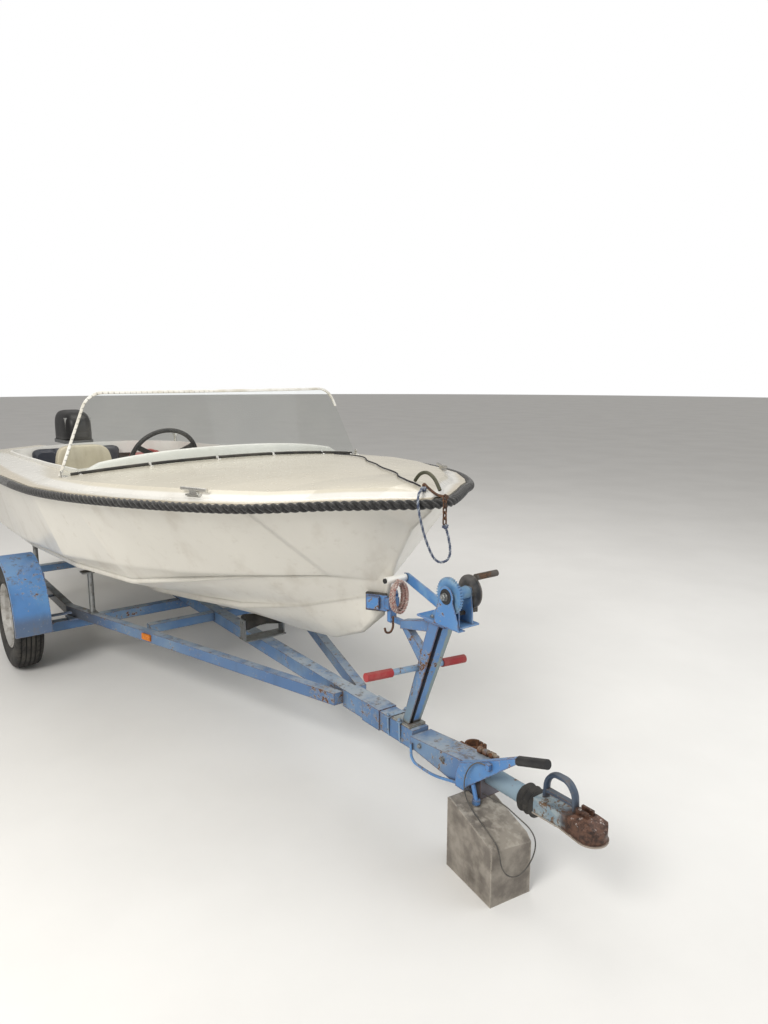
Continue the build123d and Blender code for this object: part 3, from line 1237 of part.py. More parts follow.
def make_coupling_head():
    """Pressed ball coupling with a lower lip, open underneath for the tow ball."""
    low, top = HEAD_LOW_Z, HEAD_TOP_Z
    body_top = TUBE_Z + 38
    side = plate([(HEAD_AFT_X, low), (COUPLING_TIP_X, low), (COUPLING_TIP_X, low + 24),
                  (COUPLING_TIP_X - 16, top - 16), (BALL_X + 8, top), (BALL_X - 30, top - 2),
                  (HEAD_AFT_X + 112, body_top), (HEAD_AFT_X, body_top)], Plane.XZ, 80, both=True)
    shoulders = plate([(-60, low - 1), (60, low - 1), (60, top - 40), (22, top + 1), (-22, top + 1), (-60, top - 40)],
                      Plane.YZ, COUPLING_TIP_X + 10)
    body = side & extrude(Pos(0, 0, low) * head_plan(0), amount=100) & shoulders
    lip = extrude(Pos(0, 0, low) * head_plan(4), amount=5)
    latch = [block(HEAD_AFT_X + 138, HEAD_AFT_X + 178, y - 4, y + 4, top - 16, top + 12) for y in (-12, 12)]
    socket = Pos(BALL_X, 0, low + BALL_DEPTH) * Sphere(BALL_R) + Pos(BALL_X, 0, low + BALL_DEPTH - 50) * Cylinder(BALL_R, 100)
    tube = rod((HEAD_AFT_X - 10, 0, TUBE_Z), (TUBE_FRONT_X + SEAT_GAP, 0, TUBE_Z), TUBE_R + SEAT_GAP)
    under = block(HEAD_AFT_X - 10, TUBE_FRONT_X + SEAT_GAP, -TUBE_R - SEAT_GAP, TUBE_R + SEAT_GAP, low - 10, TUBE_Z)
    return body + lip + latch - socket - tube - under


def make_coupling_handle():
    """Arched lift handle on top of the coupling, with the latch bar under it."""
    low = TUBE_Z + 34
    path, _ = route([(HEAD_AFT_X + 16, 0, low), (HEAD_AFT_X + 20, 0, 392), (HEAD_AFT_X + 46, 0, 420),
                     (HEAD_AFT_X + 98, 0, 420), (HEAD_AFT_X + 122, 0, 392), (HEAD_AFT_X + 126, 0, low)])
    bar = sweep(Plane(path @ 0, z_dir=path % 0) * Ellipse(8, 13), path=path)
    bar += block(HEAD_AFT_X + 14, HEAD_AFT_X + 126, -9, 9, 354, 364)
    return bar - Pos(0, 0, SEAT_GAP) * make_coupling_head()


def make_handbrake_lever():
    """Cranked channel lever beside the housing, its bent pull rod, pivot strut and cable clip."""
    y = HOUSING_W / 2 + SEAT_GAP
    outline = [(2612, 246), (2652, 246), (2666, 268), (2694, 290), (2869, 431), (2869, 452), (2700, 366), (2664, 348),
               (2630, 334), (2612, 290)]
    lever = plate(outline, Plane.XZ.offset(y), LEVER_W)
    lever -= Pos(5, 0, -7) * plate(outline, Plane.XZ.offset(y + 3), LEVER_W - 6)
    path, _ = route([(2358, -y - 7, 280), (2360, -y - 7, 216), (2474, -y - 7, 212), (2608, -y - 8, 246), (2634, -y - 8, 262)])
    lever += sweep(Plane(path @ 0, z_dir=path % 0) * Circle(5), path=path)
    lever += rod((2676, -y - 14, 300), (2710, -y - 26, 240), 7)
    lever += rod((2710, -y - 26, 230), (2710, -y - 26, 244), 13)
    lever += block(2760, 2776, -y - LEVER_W - 14, -y - LEVER_W + 4, 372, 392)
    return lever


def make_handbrake_grip():
    """Rubber grip on the lever, drooping a little."""
    y = -HOUSING_W / 2 - SEAT_GAP - LEVER_W / 2
    return rod((2869 + SEAT_GAP, y, 441), (2979, y, 478), 14.5) - block(2800, 2869 + SEAT_GAP, -100, 0, 300, 600)


def make_breakaway_cable():
    """Thin brake cable: off the lever, over the block, in a bight down its front and back to the housing."""
    points = [(2760 - SEAT_GAP, -80, 382), (2736, -80, 382), (2712, -81, 372), (2690, -83, 350), (2676, -86, 322),
              (2671, -89, 292), (2678, -93, 264), (2698, -99, 244), (2728, -106, 231), (2762, -112, 221),
              (2798, -119, 212), (2832, -126, 204), (2864, -133, 196), (2880, -136, 172), (2883, -133, 140),
              (2885, -120, 112), (2886, -98, 90), (2887, -70, 79), (2888, -42, 84), (2890, -18, 102),
              (2892, -3, 128), (2893, 3, 158), (2888, 0, 186), (2870, -5, 207), (2842, -9, 217), (2810, -10, 225),
              (2776, -9, 232), (2746, -20, 240), (2722, -32, 246), (HOUSING_FRONT_X + SEAT_GAP, -32, 246)]
    return tube_along(points, CABLE_R, "breakaway_cable")


def make_jockey_clamp():
    """Empty split clamp for a jockey wheel tube, and its collared screw on top of the housing."""
    centre_y = HOUSING_W / 2 + SEAT_GAP + 8 + CLAMP_R + 4
    ring = Pos(CLAMP_X, centre_y, CLAMP_Z) * Cylinder(CLAMP_R + 6, CLAMP_H)
    pad = block(CLAMP_X - 36, CLAMP_X + 36, HOUSING_W / 2 + SEAT_GAP, HOUSING_W / 2 + SEAT_GAP + 14,
                CLAMP_Z - CLAMP_H / 2, CLAMP_Z + CLAMP_H / 2)
    lugs = block(CLAMP_X - 14, CLAMP_X + 14, centre_y, centre_y + CLAMP_R + 24, CLAMP_Z - 16, CLAMP_Z + 16)
    bore = Pos(CLAMP_X, centre_y, CLAMP_Z) * Cylinder(CLAMP_R, 2 * CLAMP_H)
    slit = block(CLAMP_X - 3, CLAMP_X + 3, centre_y, centre_y + CLAMP_R + 40, 0, 600)
    bolt = rod((CLAMP_X - 24, centre_y + CLAMP_R + 15, CLAMP_Z), (CLAMP_X + 24, centre_y + CLAMP_R + 15, CLAMP_Z), 5)
    clamp = ring + pad + lugs - bore - slit + bolt
    aft, front = 2608, HOUSING_FRONT_X - 6
    rise = 11 + 2 * SEAT_GAP
    start, stop = Vector(aft, 34, housing_top_z(aft) + rise), Vector(front, 34, housing_top_z(front) + rise)
    screw = rod(start, stop, 7)
    for share in (0.0, 0.3, 0.62):
        screw += rod(start + (stop - start) * share, start + (stop - start) * (share + 0.2), 11)
    return [clamp, screw]


def make_support_block():
    """Worn masonry block under the tongue, with a seat cut for the housing."""
    plan = [(BLOCK_AFT_X, -125), (BLOCK_FRONT_X, -156), (BLOCK_FRONT_X + 16, -7), (BLOCK_AFT_X + 16, 24)]
    solid = plate(plan, Plane.XY, 300)
    top = plate([(BLOCK_AFT_X - 10, 0), (BLOCK_FRONT_X + 20, 0), (BLOCK_FRONT_X + 20, BLOCK_FRONT_Z - 24),
                 (BLOCK_FRONT_X - 6, BLOCK_FRONT_Z), (BLOCK_AFT_X + 14, BLOCK_AFT_Z), (BLOCK_AFT_X - 10, BLOCK_AFT_Z - 8)],
                Plane.XZ, 200, both=True)
    seat = block(BLOCK_AFT_X - 20, HOUSING_FRONT_X + 2, -HOUSING_W / 2 - 6, 60, HOUSING_LOW_Z - SEAT_GAP, 300)
    return solid & top - seat


def make_reflectors():
    """Amber side reflectors on the side members."""
    x = 760
    y = MEMBER_KNEE_Y - (x - MEMBER_KNEE_X) * (MEMBER_KNEE_Y - 56) / (MEMBER_FRONT_X - MEMBER_KNEE_X) + 24
    heading = degrees(atan2(MEMBER_KNEE_Y - 56, MEMBER_FRONT_X - MEMBER_KNEE_X))
    lens = Pos(x, y + 1.6, MEMBER_TOP_Z - 24) * Rot(0, 0, -heading) * Box(64, 8, 30)
    return mirrored(lens)


def write(name, shape):
    """Save one node, moved to the part's own origin, as one STEP file."""
    solids = []
    for piece in shape if isinstance(shape, list) else [shape]:
        solids += piece.solids()
    moved = [Pos(-X_MID, 0, 0) * solid for solid in solids]
    export_step(moved[0] if len(moved) == 1 else Compound(moved), f"parts/{name}.step")


NODES = {
    "hull": make_hull,
    "deck": make_deck,
    "motor_well": make_motor_well,
    "cockpit_coaming": make_coaming,
    "cockpit_floor": make_cockpit_floor,
    "dashboard": make_dashboard,
    "windscreen": make_windscreen,
    "windscreen_trim": make_windscreen_trim,
    "windscreen_seal": make_windscreen_seal,
    "gunwale_rope": make_gunwale_rope,
    "lashing_cord": make_lashing_cord,
    "bow_hose": make_bow_hose,
    "bow_rope": make_bow_rope,
    "chain_and_hook": lambda: make_bow_chain() + [make_rope_hook()],
    "deck_fittings": lambda: make_cleats() + make_stern_fittings(),
    "helm_seat": make_helm_seat,
    "aft_bench": make_aft_bench,
    "bench_cushions": make_bench_cushions,
    "fuel_tank": make_fuel_tank,
    "steering_wheel": make_steering_wheel,
    "outboard_clamp": make_outboard_clamp,
    "outboard_swivel": make_outboard_swivel,
    "outboard_cowl": make_outboard_cowl,
    "engine_block": make_engine_block,
    "outboard_leg": make_outboard_leg,
    "propeller": make_propeller,
    "tyre_starboard": lambda: make_tyre(-1),
    "tyre_port": lambda: make_tyre(1),
    "rim_starboard": lambda: make_rim(-1),
    "rim_port": lambda: make_rim(1),
    "axle_beam": make_axle,
    "mudguards": lambda: [make_mudguard(side) for side in (-1, 1)],
    "drawbar": make_drawbar,
    "side_member_starboard": lambda: make_side_member(-1),
    "side_member_port": lambda: make_side_member(1),
    "cross_members": make_cross_members,
    "bunk_boards": make_bunk_boards,
    "hull_supports": lambda: make_bunk_posts() + make_roller_brackets(),
    "keel_rollers": make_keel_rollers,
    "winch_post": make_winch_post,
    "handle_bar": make_handle_bar,
    "handle_grips": make_handle_grips,
    "winch_frame": make_winch_frame,
    "winch_drum": make_winch_drum,
    "winch_crank": make_winch_crank,
    "stem_roller": make_stem_roller,
    "bow_stop": make_bow_stop,
    "bow_stop_pads": make_bow_stop_pads,
    "winch_rope_hank": make_hank,
    "overrun_housing": make_overrun_housing,
    "overrun_tube": make_overrun_tube,
    "overrun_bellows": make_bellows,
    "coupling_head": make_coupling_head,
    "coupling_handle": make_coupling_handle,
    "jockey_clamp": make_jockey_clamp,
    "handbrake_lever": make_handbrake_lever,
    "handbrake_grip": make_handbrake_grip,
    "breakaway_cable": make_breakaway_cable,
    "support_block": make_support_block,
    "side_reflectors": make_reflectors,
}

os.makedirs("parts", exist_ok=True)
for node, maker in NODES.items():
    write(node, maker())
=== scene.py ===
"""Looks of a small speedboat on its road trailer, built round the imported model."""
import math

import bmesh
import bpy
import numpy as np
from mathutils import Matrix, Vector
from mathutils.bvhtree import BVHTree


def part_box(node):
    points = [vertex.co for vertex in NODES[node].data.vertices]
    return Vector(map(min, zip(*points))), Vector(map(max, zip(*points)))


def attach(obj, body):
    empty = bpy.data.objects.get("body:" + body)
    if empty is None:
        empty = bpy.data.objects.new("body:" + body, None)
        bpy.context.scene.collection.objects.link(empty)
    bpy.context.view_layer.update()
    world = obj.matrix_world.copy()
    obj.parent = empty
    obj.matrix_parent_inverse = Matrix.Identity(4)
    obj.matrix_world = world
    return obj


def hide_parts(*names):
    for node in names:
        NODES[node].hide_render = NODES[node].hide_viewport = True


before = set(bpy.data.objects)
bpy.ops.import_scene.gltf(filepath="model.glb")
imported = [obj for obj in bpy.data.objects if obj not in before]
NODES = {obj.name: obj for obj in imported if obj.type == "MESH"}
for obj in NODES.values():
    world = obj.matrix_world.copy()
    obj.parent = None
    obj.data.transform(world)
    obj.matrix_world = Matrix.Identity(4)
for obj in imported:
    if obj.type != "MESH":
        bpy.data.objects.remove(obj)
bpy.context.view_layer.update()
ROOT = "boat_and_trailer"
# The wheel axle's distance aft of the origin
AXLE_AFT = 0.455


def at(x, y, z):
    """A point given from the wheel axle, in the row frame."""
    return (x - AXLE_AFT, y, z)


def shifted(points):
    """A list of points from the wheel axle, in the row frame."""
    return [at(*p) for p in points]


def linked(name, data):
    """A new object in the scene for a mesh, curve, lamp or camera."""
    piece = bpy.data.objects.new(name, data)
    bpy.context.scene.collection.objects.link(piece)
    return piece


# Camera, at the photograph's place
def make_camera():
    """The viewpoint: its place, heading, tilt and focal length come from the photograph's lines."""
    data = bpy.data.cameras.new("camera")
    data.sensor_fit = "AUTO"
    data.sensor_width = 36.0
    data.lens = 26.82
    data.clip_end = 100
    camera = linked("camera", data)
    heading, tilt = 2.5087, -0.18523
    ahead = Vector((math.cos(heading) * math.cos(tilt), math.sin(heading) * math.cos(tilt), math.sin(tilt)))
    camera.rotation_euler = ahead.to_track_quat("-Z", "Y").to_euler()
    camera.location = at(4.28789, -1.58505, 1.56019)
    bpy.context.scene.camera = camera


make_camera()


# Lines and ropes
def route_line(points, name):
    """A smooth open curve with these points as its control points."""
    data = bpy.data.curves.new(name, "CURVE")
    data.dimensions = "3D"
    spline = data.splines.new("NURBS")
    spline.points.add(len(points) - 1)
    for target, point in zip(spline.points, points):
        target.co = (*point, 1)
    spline.order_u = 3
    spline.use_endpoint_u = True
    spline.resolution_u = 16
    return linked(name, data)


def line_points(points):
    """Close points along the smooth curve of a route."""
    line = route_line(points, "route_guide")
    depsgraph = bpy.context.evaluated_depsgraph_get()
    mesh = bpy.data.meshes.new_from_object(line.evaluated_get(depsgraph))
    co = coordinates(mesh)
    bpy.data.meshes.remove(mesh)
    bpy.data.objects.remove(line)
    return co


def plain_cord(name, points, radius, material):
    """A round cord along a smooth curve."""
    line = route_line(points, name)
    line.data.bevel_depth = radius
    line.data.bevel_resolution = 5
    line.data.use_fill_caps = True
    line.data.materials.append(material)
    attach(line, ROOT)
    return line


def grid_faces(rows, columns):
    """Quads of a grid of points whose rows follow each other, with its columns joined round."""
    row = np.arange(rows - 1)[:, None] * columns
    a = np.arange(columns)[None, :]
    b = np.roll(a, -1, axis=1)
    return np.stack([row + a, row + b, row + columns + b, row + columns + a], axis=-1).reshape(-1, 4)


def end_caps(rows, columns):
    """The first and the last ring of a grid, each as one face."""
    return np.arange(columns)[::-1], (rows - 1) * columns + np.arange(columns)


def signed_power(value, exponent):
    """A value's size raised to a power, its sign kept: sines and cosines grow squarer as the power falls."""
    return np.sign(value) * np.abs(value) ** exponent


def circle_section(radius, count):
    """Corners of a round section, as across and up pairs."""
    turn = np.linspace(0, 2 * math.pi, count, endpoint=False)
    return [(radius * math.cos(a), radius * math.sin(a)) for a in turn]


def coordinates(mesh):
    """A mesh's points as an array."""
    co = np.zeros(len(mesh.vertices) * 3)
    mesh.vertices.foreach_get("co", co)
    return co.reshape(-1, 3)


def stored(piece, name, values):
    """Keeps one value for each point on the piece, for its material to read."""
    mark = piece.data.attributes.new(name, "FLOAT", "POINT")
    mark.data.foreach_set("value", values.reshape(-1).astype(np.float32))


def mesh_piece(name, verts, faces, material, body, slot=None, smooth=True, caps=()):
    """A mesh object made from arrays of points and quads, with optional end caps, its faces turned outwards."""
    mesh = bpy.data.meshes.new(name)
    polygons = [tuple(int(i) for i in f) for f in faces] + [tuple(int(i) for i in c) for c in caps]
    mesh.from_pydata([tuple(v) for v in np.asarray(verts, float)], [], polygons)
    loose = bmesh.new()
    loose.from_mesh(mesh)
    bmesh.ops.recalc_face_normals(loose, faces=loose.faces)
    loose.to_mesh(mesh)
    loose.free()
    mesh.polygons.foreach_set("use_smooth", [smooth] * len(mesh.polygons))
    mesh.update()
    piece = linked(name, mesh)
    mesh.materials.append(material)
    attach(piece, body)
    return piece


def along(points, step):
    """Evenly spaced points, their directions and their distances along a line."""
    gaps = np.linalg.norm(np.diff(points, axis=0), axis=1)
    keep = np.concatenate([[True], gaps > 1e-7])
    points = points[keep]
    gaps = np.linalg.norm(np.diff(points, axis=0), axis=1)
    run = np.concatenate([[0], np.cumsum(gaps)])
    s = np.linspace(0, run[-1], max(3, int(run[-1] / step)))
    p = np.stack([np.interp(s, run, points[:, k]) for k in range(3)], axis=1)
    t = np.gradient(p, axis=0)
    return p, t / np.linalg.norm(t, axis=1)[:, None], s


def side_axes(t):
    """Two directions across a line that turn as little as possible along it."""
    n = np.zeros_like(t)
    start = np.cross(t[0], [0, 0, 1.0])
    if np.linalg.norm(start) < 0.1:
        start = np.cross(t[0], [0, 1.0, 0])
    n[0] = start / np.linalg.norm(start)
    for i in range(1, len(t)):
        v = n[i - 1] - t[i] * np.dot(n[i - 1], t[i])
        n[i] = v / np.linalg.norm(v)
    return n, np.cross(t, n)


def swept(centre, across, up, section):
    """Points, faces and end caps of a section, given as across and up pairs, carried along a line."""
    shape = np.asarray(section, float)
    verts = (centre[:, None, :] + shape[None, :, 0, None] * across[:, None, :]
             + shape[None, :, 1, None] * up[:, None, :])
    rows, columns = len(centre), len(shape)
    return verts.reshape(-1, 3), grid_faces(rows, columns), end_caps(rows, columns)


def rounded_section(width, height, corner, steps=4):
    """Outline of a rectangle with round corners, anticlockwise."""
    points = []
    for k, (sx, sy) in enumerate(((1, 1), (-1, 1), (-1, -1), (1, -1))):
        for a in np.linspace(0, math.pi / 2, steps) + k * math.pi / 2:
            points.append((sx * (width / 2 - corner) + corner * math.cos(a),
                           sy * (height / 2 - corner) + corner * math.sin(a)))
    return points


def merged(parts):
    """Several sets of points, faces and caps as one."""
    verts, faces, caps, start = [], [], [], 0
    for v, f, c in parts:
        verts.append(v)
        faces.append(np.asarray(f) + start)
        caps += [np.asarray(one) + start for one in c]
        start += len(v)
    return np.concatenate(verts), np.concatenate(faces), caps


def superform(centre, half, end_power, plan_power, rows=24, columns=48):
    """A rounded block: a sphere's sines and cosines raised to powers, squarer as the powers fall."""
    rise = np.linspace(-math.pi / 2, math.pi / 2, rows + 2)[1:-1, None]
    turn = np.linspace(0, 2 * math.pi, columns, endpoint=False)[None, :]
    ring = signed_power(np.cos(rise), end_power)
    x = half[0] * ring * signed_power(np.cos(turn), plan_power)
    y = half[1] * ring * signed_power(np.sin(turn), plan_power)
    z = np.broadcast_to(half[2] * signed_power(np.sin(rise), end_power), x.shape)
    verts = np.stack([x, y, z], axis=-1).reshape(-1, 3) + np.asarray(centre, float)
    return verts, grid_faces(rows, columns), end_caps(rows, columns)


def turned(place, axis, profile, columns=32, six=()):
    """A profile of radius and height turned round an axis; the rows in six are drawn out to a hexagon."""
    axis = np.asarray(axis, float) / np.linalg.norm(axis)
    side = np.cross(axis, [0.3, 0.2, 0.93])
    side /= np.linalg.norm(side)
    other = np.cross(axis, side)
    angle = np.linspace(0, 2 * math.pi, columns, endpoint=False)
    radius = np.repeat(np.array(profile, float)[:, :1], columns, axis=1)
    hexagon = math.cos(math.pi / 6) / np.cos((angle + math.pi / 6) % (math.pi / 3) - math.pi / 6)
    radius[list(six)] *= hexagon[None, :]
    height = np.array(profile, float)[:, 1]
    verts = (np.asarray(place, float) + height[:, None, None] * axis
             + radius[..., None] * (np.cos(angle)[None, :, None] * side + np.sin(angle)[None, :, None] * other))
    rows = len(profile)
    return verts.reshape(-1, 3), grid_faces(rows, columns), end_caps(rows, columns)


def bolt(place, axis, size):
    """A washer, a hexagon nut with a bevelled top and the round end of its bolt."""
    profile = [(1.05, -0.1), (1.05, 0.16), (1.0, 0.2), (0.86, 0.2), (0.92, 0.24), (0.92, 0.86), (0.80, 0.98),
               (0.46, 1.0), (0.46, 1.28), (0.34, 1.36)]
    return turned(place, axis, [(r * size, h * size) for r, h in profile], columns=24, six=(3, 4, 5, 6))


def bolts(name, spots, body, material, slot):
    """One piece with a nut at each place, square to its face."""
    verts, faces, caps = merged([bolt(*spot) for spot in spots])
    return mesh_piece(name, verts, faces, material, body, slot, smooth=False, caps=caps)


def laid_rope(name, route, radius, lay, material, slot, step, plain=None, around=30):
    """A three-strand rope: the outline of three touching strands, which turns once in each lay length.
    plain(points) is 1 where a smooth sleeve hides the strands."""
    p, t, s = along(route, step)
    n, b = side_axes(t)
    angle = np.linspace(0, 2 * math.pi, around, endpoint=False)
    turn = 2 * math.pi * s / lay
    local = (angle[None, :] - turn[:, None]) % (2 * math.pi / 3) - math.pi / 3
    strand, offset = 0.49 * radius, 0.51 * radius
    lobe = offset * np.cos(local) + np.sqrt(np.maximum(strand**2 - (offset * np.sin(local)) ** 2, 1e-9))
    cover = np.zeros(len(p)) if plain is None else plain(p)
    r = lobe * (1 - cover[:, None]) + radius * 0.985 * cover[:, None]
    verts = p[:, None, :] + r[..., None] * (np.cos(angle)[None, :, None] * n[:, None, :]
                                             + np.sin(angle)[None, :, None] * b[:, None, :])
    piece = mesh_piece(name, verts.reshape(-1, 3), grid_faces(len(p), around), material, ROOT, slot,
                       caps=end_caps(len(p), around))
    stored(piece, "strand", ((angle[None, :] - turn[:, None]) % (2 * math.pi)) / (2 * math.pi))
    stored(piece, "groove", 1 - r / radius)
    return piece, p


# Procedural finishes
class Finish:
    """One procedural material, put together from small steps in object space, in metres."""

    def __init__(self, name):
        self.material = bpy.data.materials.new(name)
        self.material.use_nodes = True
        self.tree = self.material.node_tree
        self.tree.nodes.clear()
        self.coords = self.add("ShaderNodeTexCoord").outputs["Object"]

    def add(self, kind, values=(), **settings):
        """A node with its settings, its constants and its links."""
        node = self.tree.nodes.new(kind)
        for key, value in settings.items():
            setattr(node, key, value)
        for key, value in values:
            if isinstance(value, bpy.types.NodeSocket):
                self.tree.links.new(value, node.inputs[key])
            elif isinstance(value, tuple) and len(value) == 3 and len(node.inputs[key].default_value) == 4:
                node.inputs[key].default_value = (*value, 1)
            else:
                node.inputs[key].default_value = value
        return node

    def stretched(self, x, y, z):
        """Object coordinates scaled along each axis."""
        return self.add("ShaderNodeMapping", [("Vector", self.coords), ("Scale", (x, y, z))]).outputs["Vector"]

    def noise(self, scale, detail=3.0, rough=0.55, vector=None, distortion=0.0):
        """Cloudy noise from 0 to 1."""
        values = [("Vector", vector or self.coords), ("Scale", scale), ("Detail", detail), ("Roughness", rough),
                  ("Distortion", distortion)]
        return self.add("ShaderNodeTexNoise", values).outputs["Fac"]

    def cells(self, scale, vector=None):
        """Distance to the nearest of many scattered points."""
        values = [("Vector", vector or self.coords), ("Scale", scale)]
        return self.add("ShaderNodeTexVoronoi", values).outputs["Distance"]

    def calc(self, operation, a, b=0.0):
        """Arithmetic on two values."""
        return self.add("ShaderNodeMath", [(0, a), (1, b)], operation=operation).outputs[0]

    def steps(self, value, low, high):
        """0 below low, 1 above high, smooth between."""
        values = [("Value", value), ("From Min", low), ("From Max", high)]
        return self.add("ShaderNodeMapRange", values, interpolation_type="SMOOTHSTEP").outputs["Result"]

    def place(self, axis):
        """One coordinate: 0 for x, 1 for y, 2 for z."""
        return self.add("ShaderNodeSeparateXYZ", [("Vector", self.coords)]).outputs[axis]

    def upward(self, low=0.6, high=0.95):
        """1 on faces that look up."""
        normal = self.add("ShaderNodeNewGeometry").outputs["Normal"]
        return self.steps(self.add("ShaderNodeSeparateXYZ", [("Vector", normal)]).outputs[2], low, high)

    def edges(self, radius, low=0.02, high=0.25):
        """1 on the piece's edges, found where a rounded normal leaves the flat one."""
        bevel = self.add("ShaderNodeBevel", [("Radius", radius)], samples=4).outputs["Normal"]
        flat = self.add("ShaderNodeNewGeometry").outputs["Normal"]
        values = [(0, bevel), (1, flat)]
        same = self.add("ShaderNodeVectorMath", values, operation="DOT_PRODUCT").outputs["Value"]
        return self.steps(self.calc("SUBTRACT", 1.0, same), low, high)

    def shaded_hollows(self, distance, low=0.35, high=0.85):
        """1 in corners and under other pieces, where the colour gets painted shade."""
        near = self.add("ShaderNodeAmbientOcclusion", [("Distance", distance)], samples=4).outputs["AO"]
        return self.steps(near, high, low)

    def zone(self, axis, low, high, wobble=0.01, scale=60):
        """1 where a coordinate is above high, 0 below low, with an uneven border."""
        value = self.calc("ADD", self.place(axis), self.level(self.noise(scale, 5), -wobble, wobble))
        return self.steps(value, low, high)

    def mix(self, mask, a, b):
        """Colour a where the mask is 0 and b where it is 1."""
        node = self.add("ShaderNodeMix", [(0, mask)], data_type="RGBA")
        for index, value in ((6, a), (7, b)):
            if isinstance(value, bpy.types.NodeSocket):
                self.tree.links.new(value, node.inputs[index])
            else:
                node.inputs[index].default_value = (*value, 1)
        return node.outputs[2]

    def wash(self, colour, mask, strength, tint):
        """The colour, covered with a tint where the mask is 1, up to this strength."""
        return self.mix(self.level(mask, 0.0, strength), colour, tint)

    def clouds(self, low, high, *noise, **more):
        """Noise cut to patches: 0 below low, 1 above high."""
        return self.steps(self.noise(*noise, **more), low, high)

    def level(self, mask, a, b):
        """A value that goes from a to b with the mask."""
        values = [("Value", mask), ("To Min", a), ("To Max", b)]
        return self.add("ShaderNodeMapRange", values).outputs["Result"]

    def line(self, value, start, height, slope):
        """A straight line: height at start, rising by slope."""
        return self.calc("ADD", self.calc("MULTIPLY", value, slope), height - start * slope)

    def bump(self, height, distance, below=None):
        """A bumped normal, distance high in metres."""
        values = [("Height", height), ("Distance", distance), ("Strength", 1.0)]
        if below is not None:
            values.append(("Normal", below))
        return self.add("ShaderNodeBump", values).outputs["Normal"]

    def attribute(self, name):
        """A value stored on the mesh."""
        return self.add("ShaderNodeAttribute", attribute_name=name).outputs["Fac"]

    def done(self, colour, rough, normal=None, **more):
        """Joins everything into the surface."""
        values = [("Base Color", colour), ("Roughness", rough)]
        if normal is not None:
            values.append(("Normal", normal))
        values += [(key.replace("_", " "), value) for key, value in more.items()]
        shader = self.add("ShaderNodeBsdfPrincipled", values)
        out = self.add("ShaderNodeOutputMaterial")
        self.tree.links.new(shader.outputs["BSDF"], out.inputs["Surface"])
        return self.material


def enamel(name, base, faded, chips=0.5, dust=0.3, tall=1.0, zones=(), dusty=(0.40, 0.44, 0.47)):
    """Old brushed enamel: faded patches, chips to primer and rust at the edges, painted shade in a grime brown in
    corners and under other pieces, dust on top.
    zones lists other colours: axis, low, high, colour and how strong."""
    f = Finish(name)
    patches = f.clouds(0.42, 0.72, 3.2, 4)
    colour = f.mix(patches, base, faded)
    streak = f.noise(9, 4, vector=f.stretched(1, 1, 0.25))
    colour = f.wash(colour, f.steps(streak, 0.5, 0.75), 0.35, tuple(0.4 * c for c in base))
    for axis, low, high, tint, strength in zones:
        colour = f.wash(colour, f.zone(axis, low, high), strength, tint)
    grain = f.noise(60, 8, 0.7)
    worn = f.calc("ADD", grain, f.level(f.edges(0.007), 0.0, 0.26 * chips))
    broad = f.noise(6, 5)
    worn = f.calc("ADD", worn, f.level(f.steps(broad, 0.42, 0.68), -0.03, 0.13 * chips))
    chipped = f.steps(worn, 0.655, 0.69)
    halo = f.steps(worn, 0.60, 0.67)
    rust = f.mix(f.noise(130, 4), (0.055, 0.028, 0.016), (0.21, 0.085, 0.032))
    colour = f.wash(colour, halo, 0.7, (0.42, 0.40, 0.35))
    colour = f.mix(chipped, colour, rust)
    # Painted shade: corners and places under other pieces darkened to a grime brown
    colour = f.wash(colour, f.shaded_hollows(0.045), 0.85, (0.060, 0.045, 0.032))
    dirt = f.calc("MULTIPLY", f.upward(), f.clouds(0.30, 0.60, 11, 6, 0.65))
    colour = f.wash(colour, dirt, dust, dusty)
    spill = f.calc("MULTIPLY", f.upward(0.2, 0.8), f.clouds(0.54, 0.64, 26, 7, 0.7))
    colour = f.wash(colour, spill, 0.7, (0.13, 0.09, 0.06))
    splash = f.clouds(0.56, 0.70, 13, 7, 0.72)
    colour = f.wash(colour, splash, 0.45, (0.17, 0.15, 0.125))
    rough = f.level(f.calc("MAXIMUM", chipped, f.calc("MULTIPLY", dirt, 0.8)), 0.42, 0.9)
    skin = f.bump(f.noise(420, 2), 0.00015 * tall)
    normal = f.bump(f.calc("SUBTRACT", f.level(grain, 0, 0.3), chipped), 0.0006 * tall, skin)
    return f.done(colour, rough, normal)


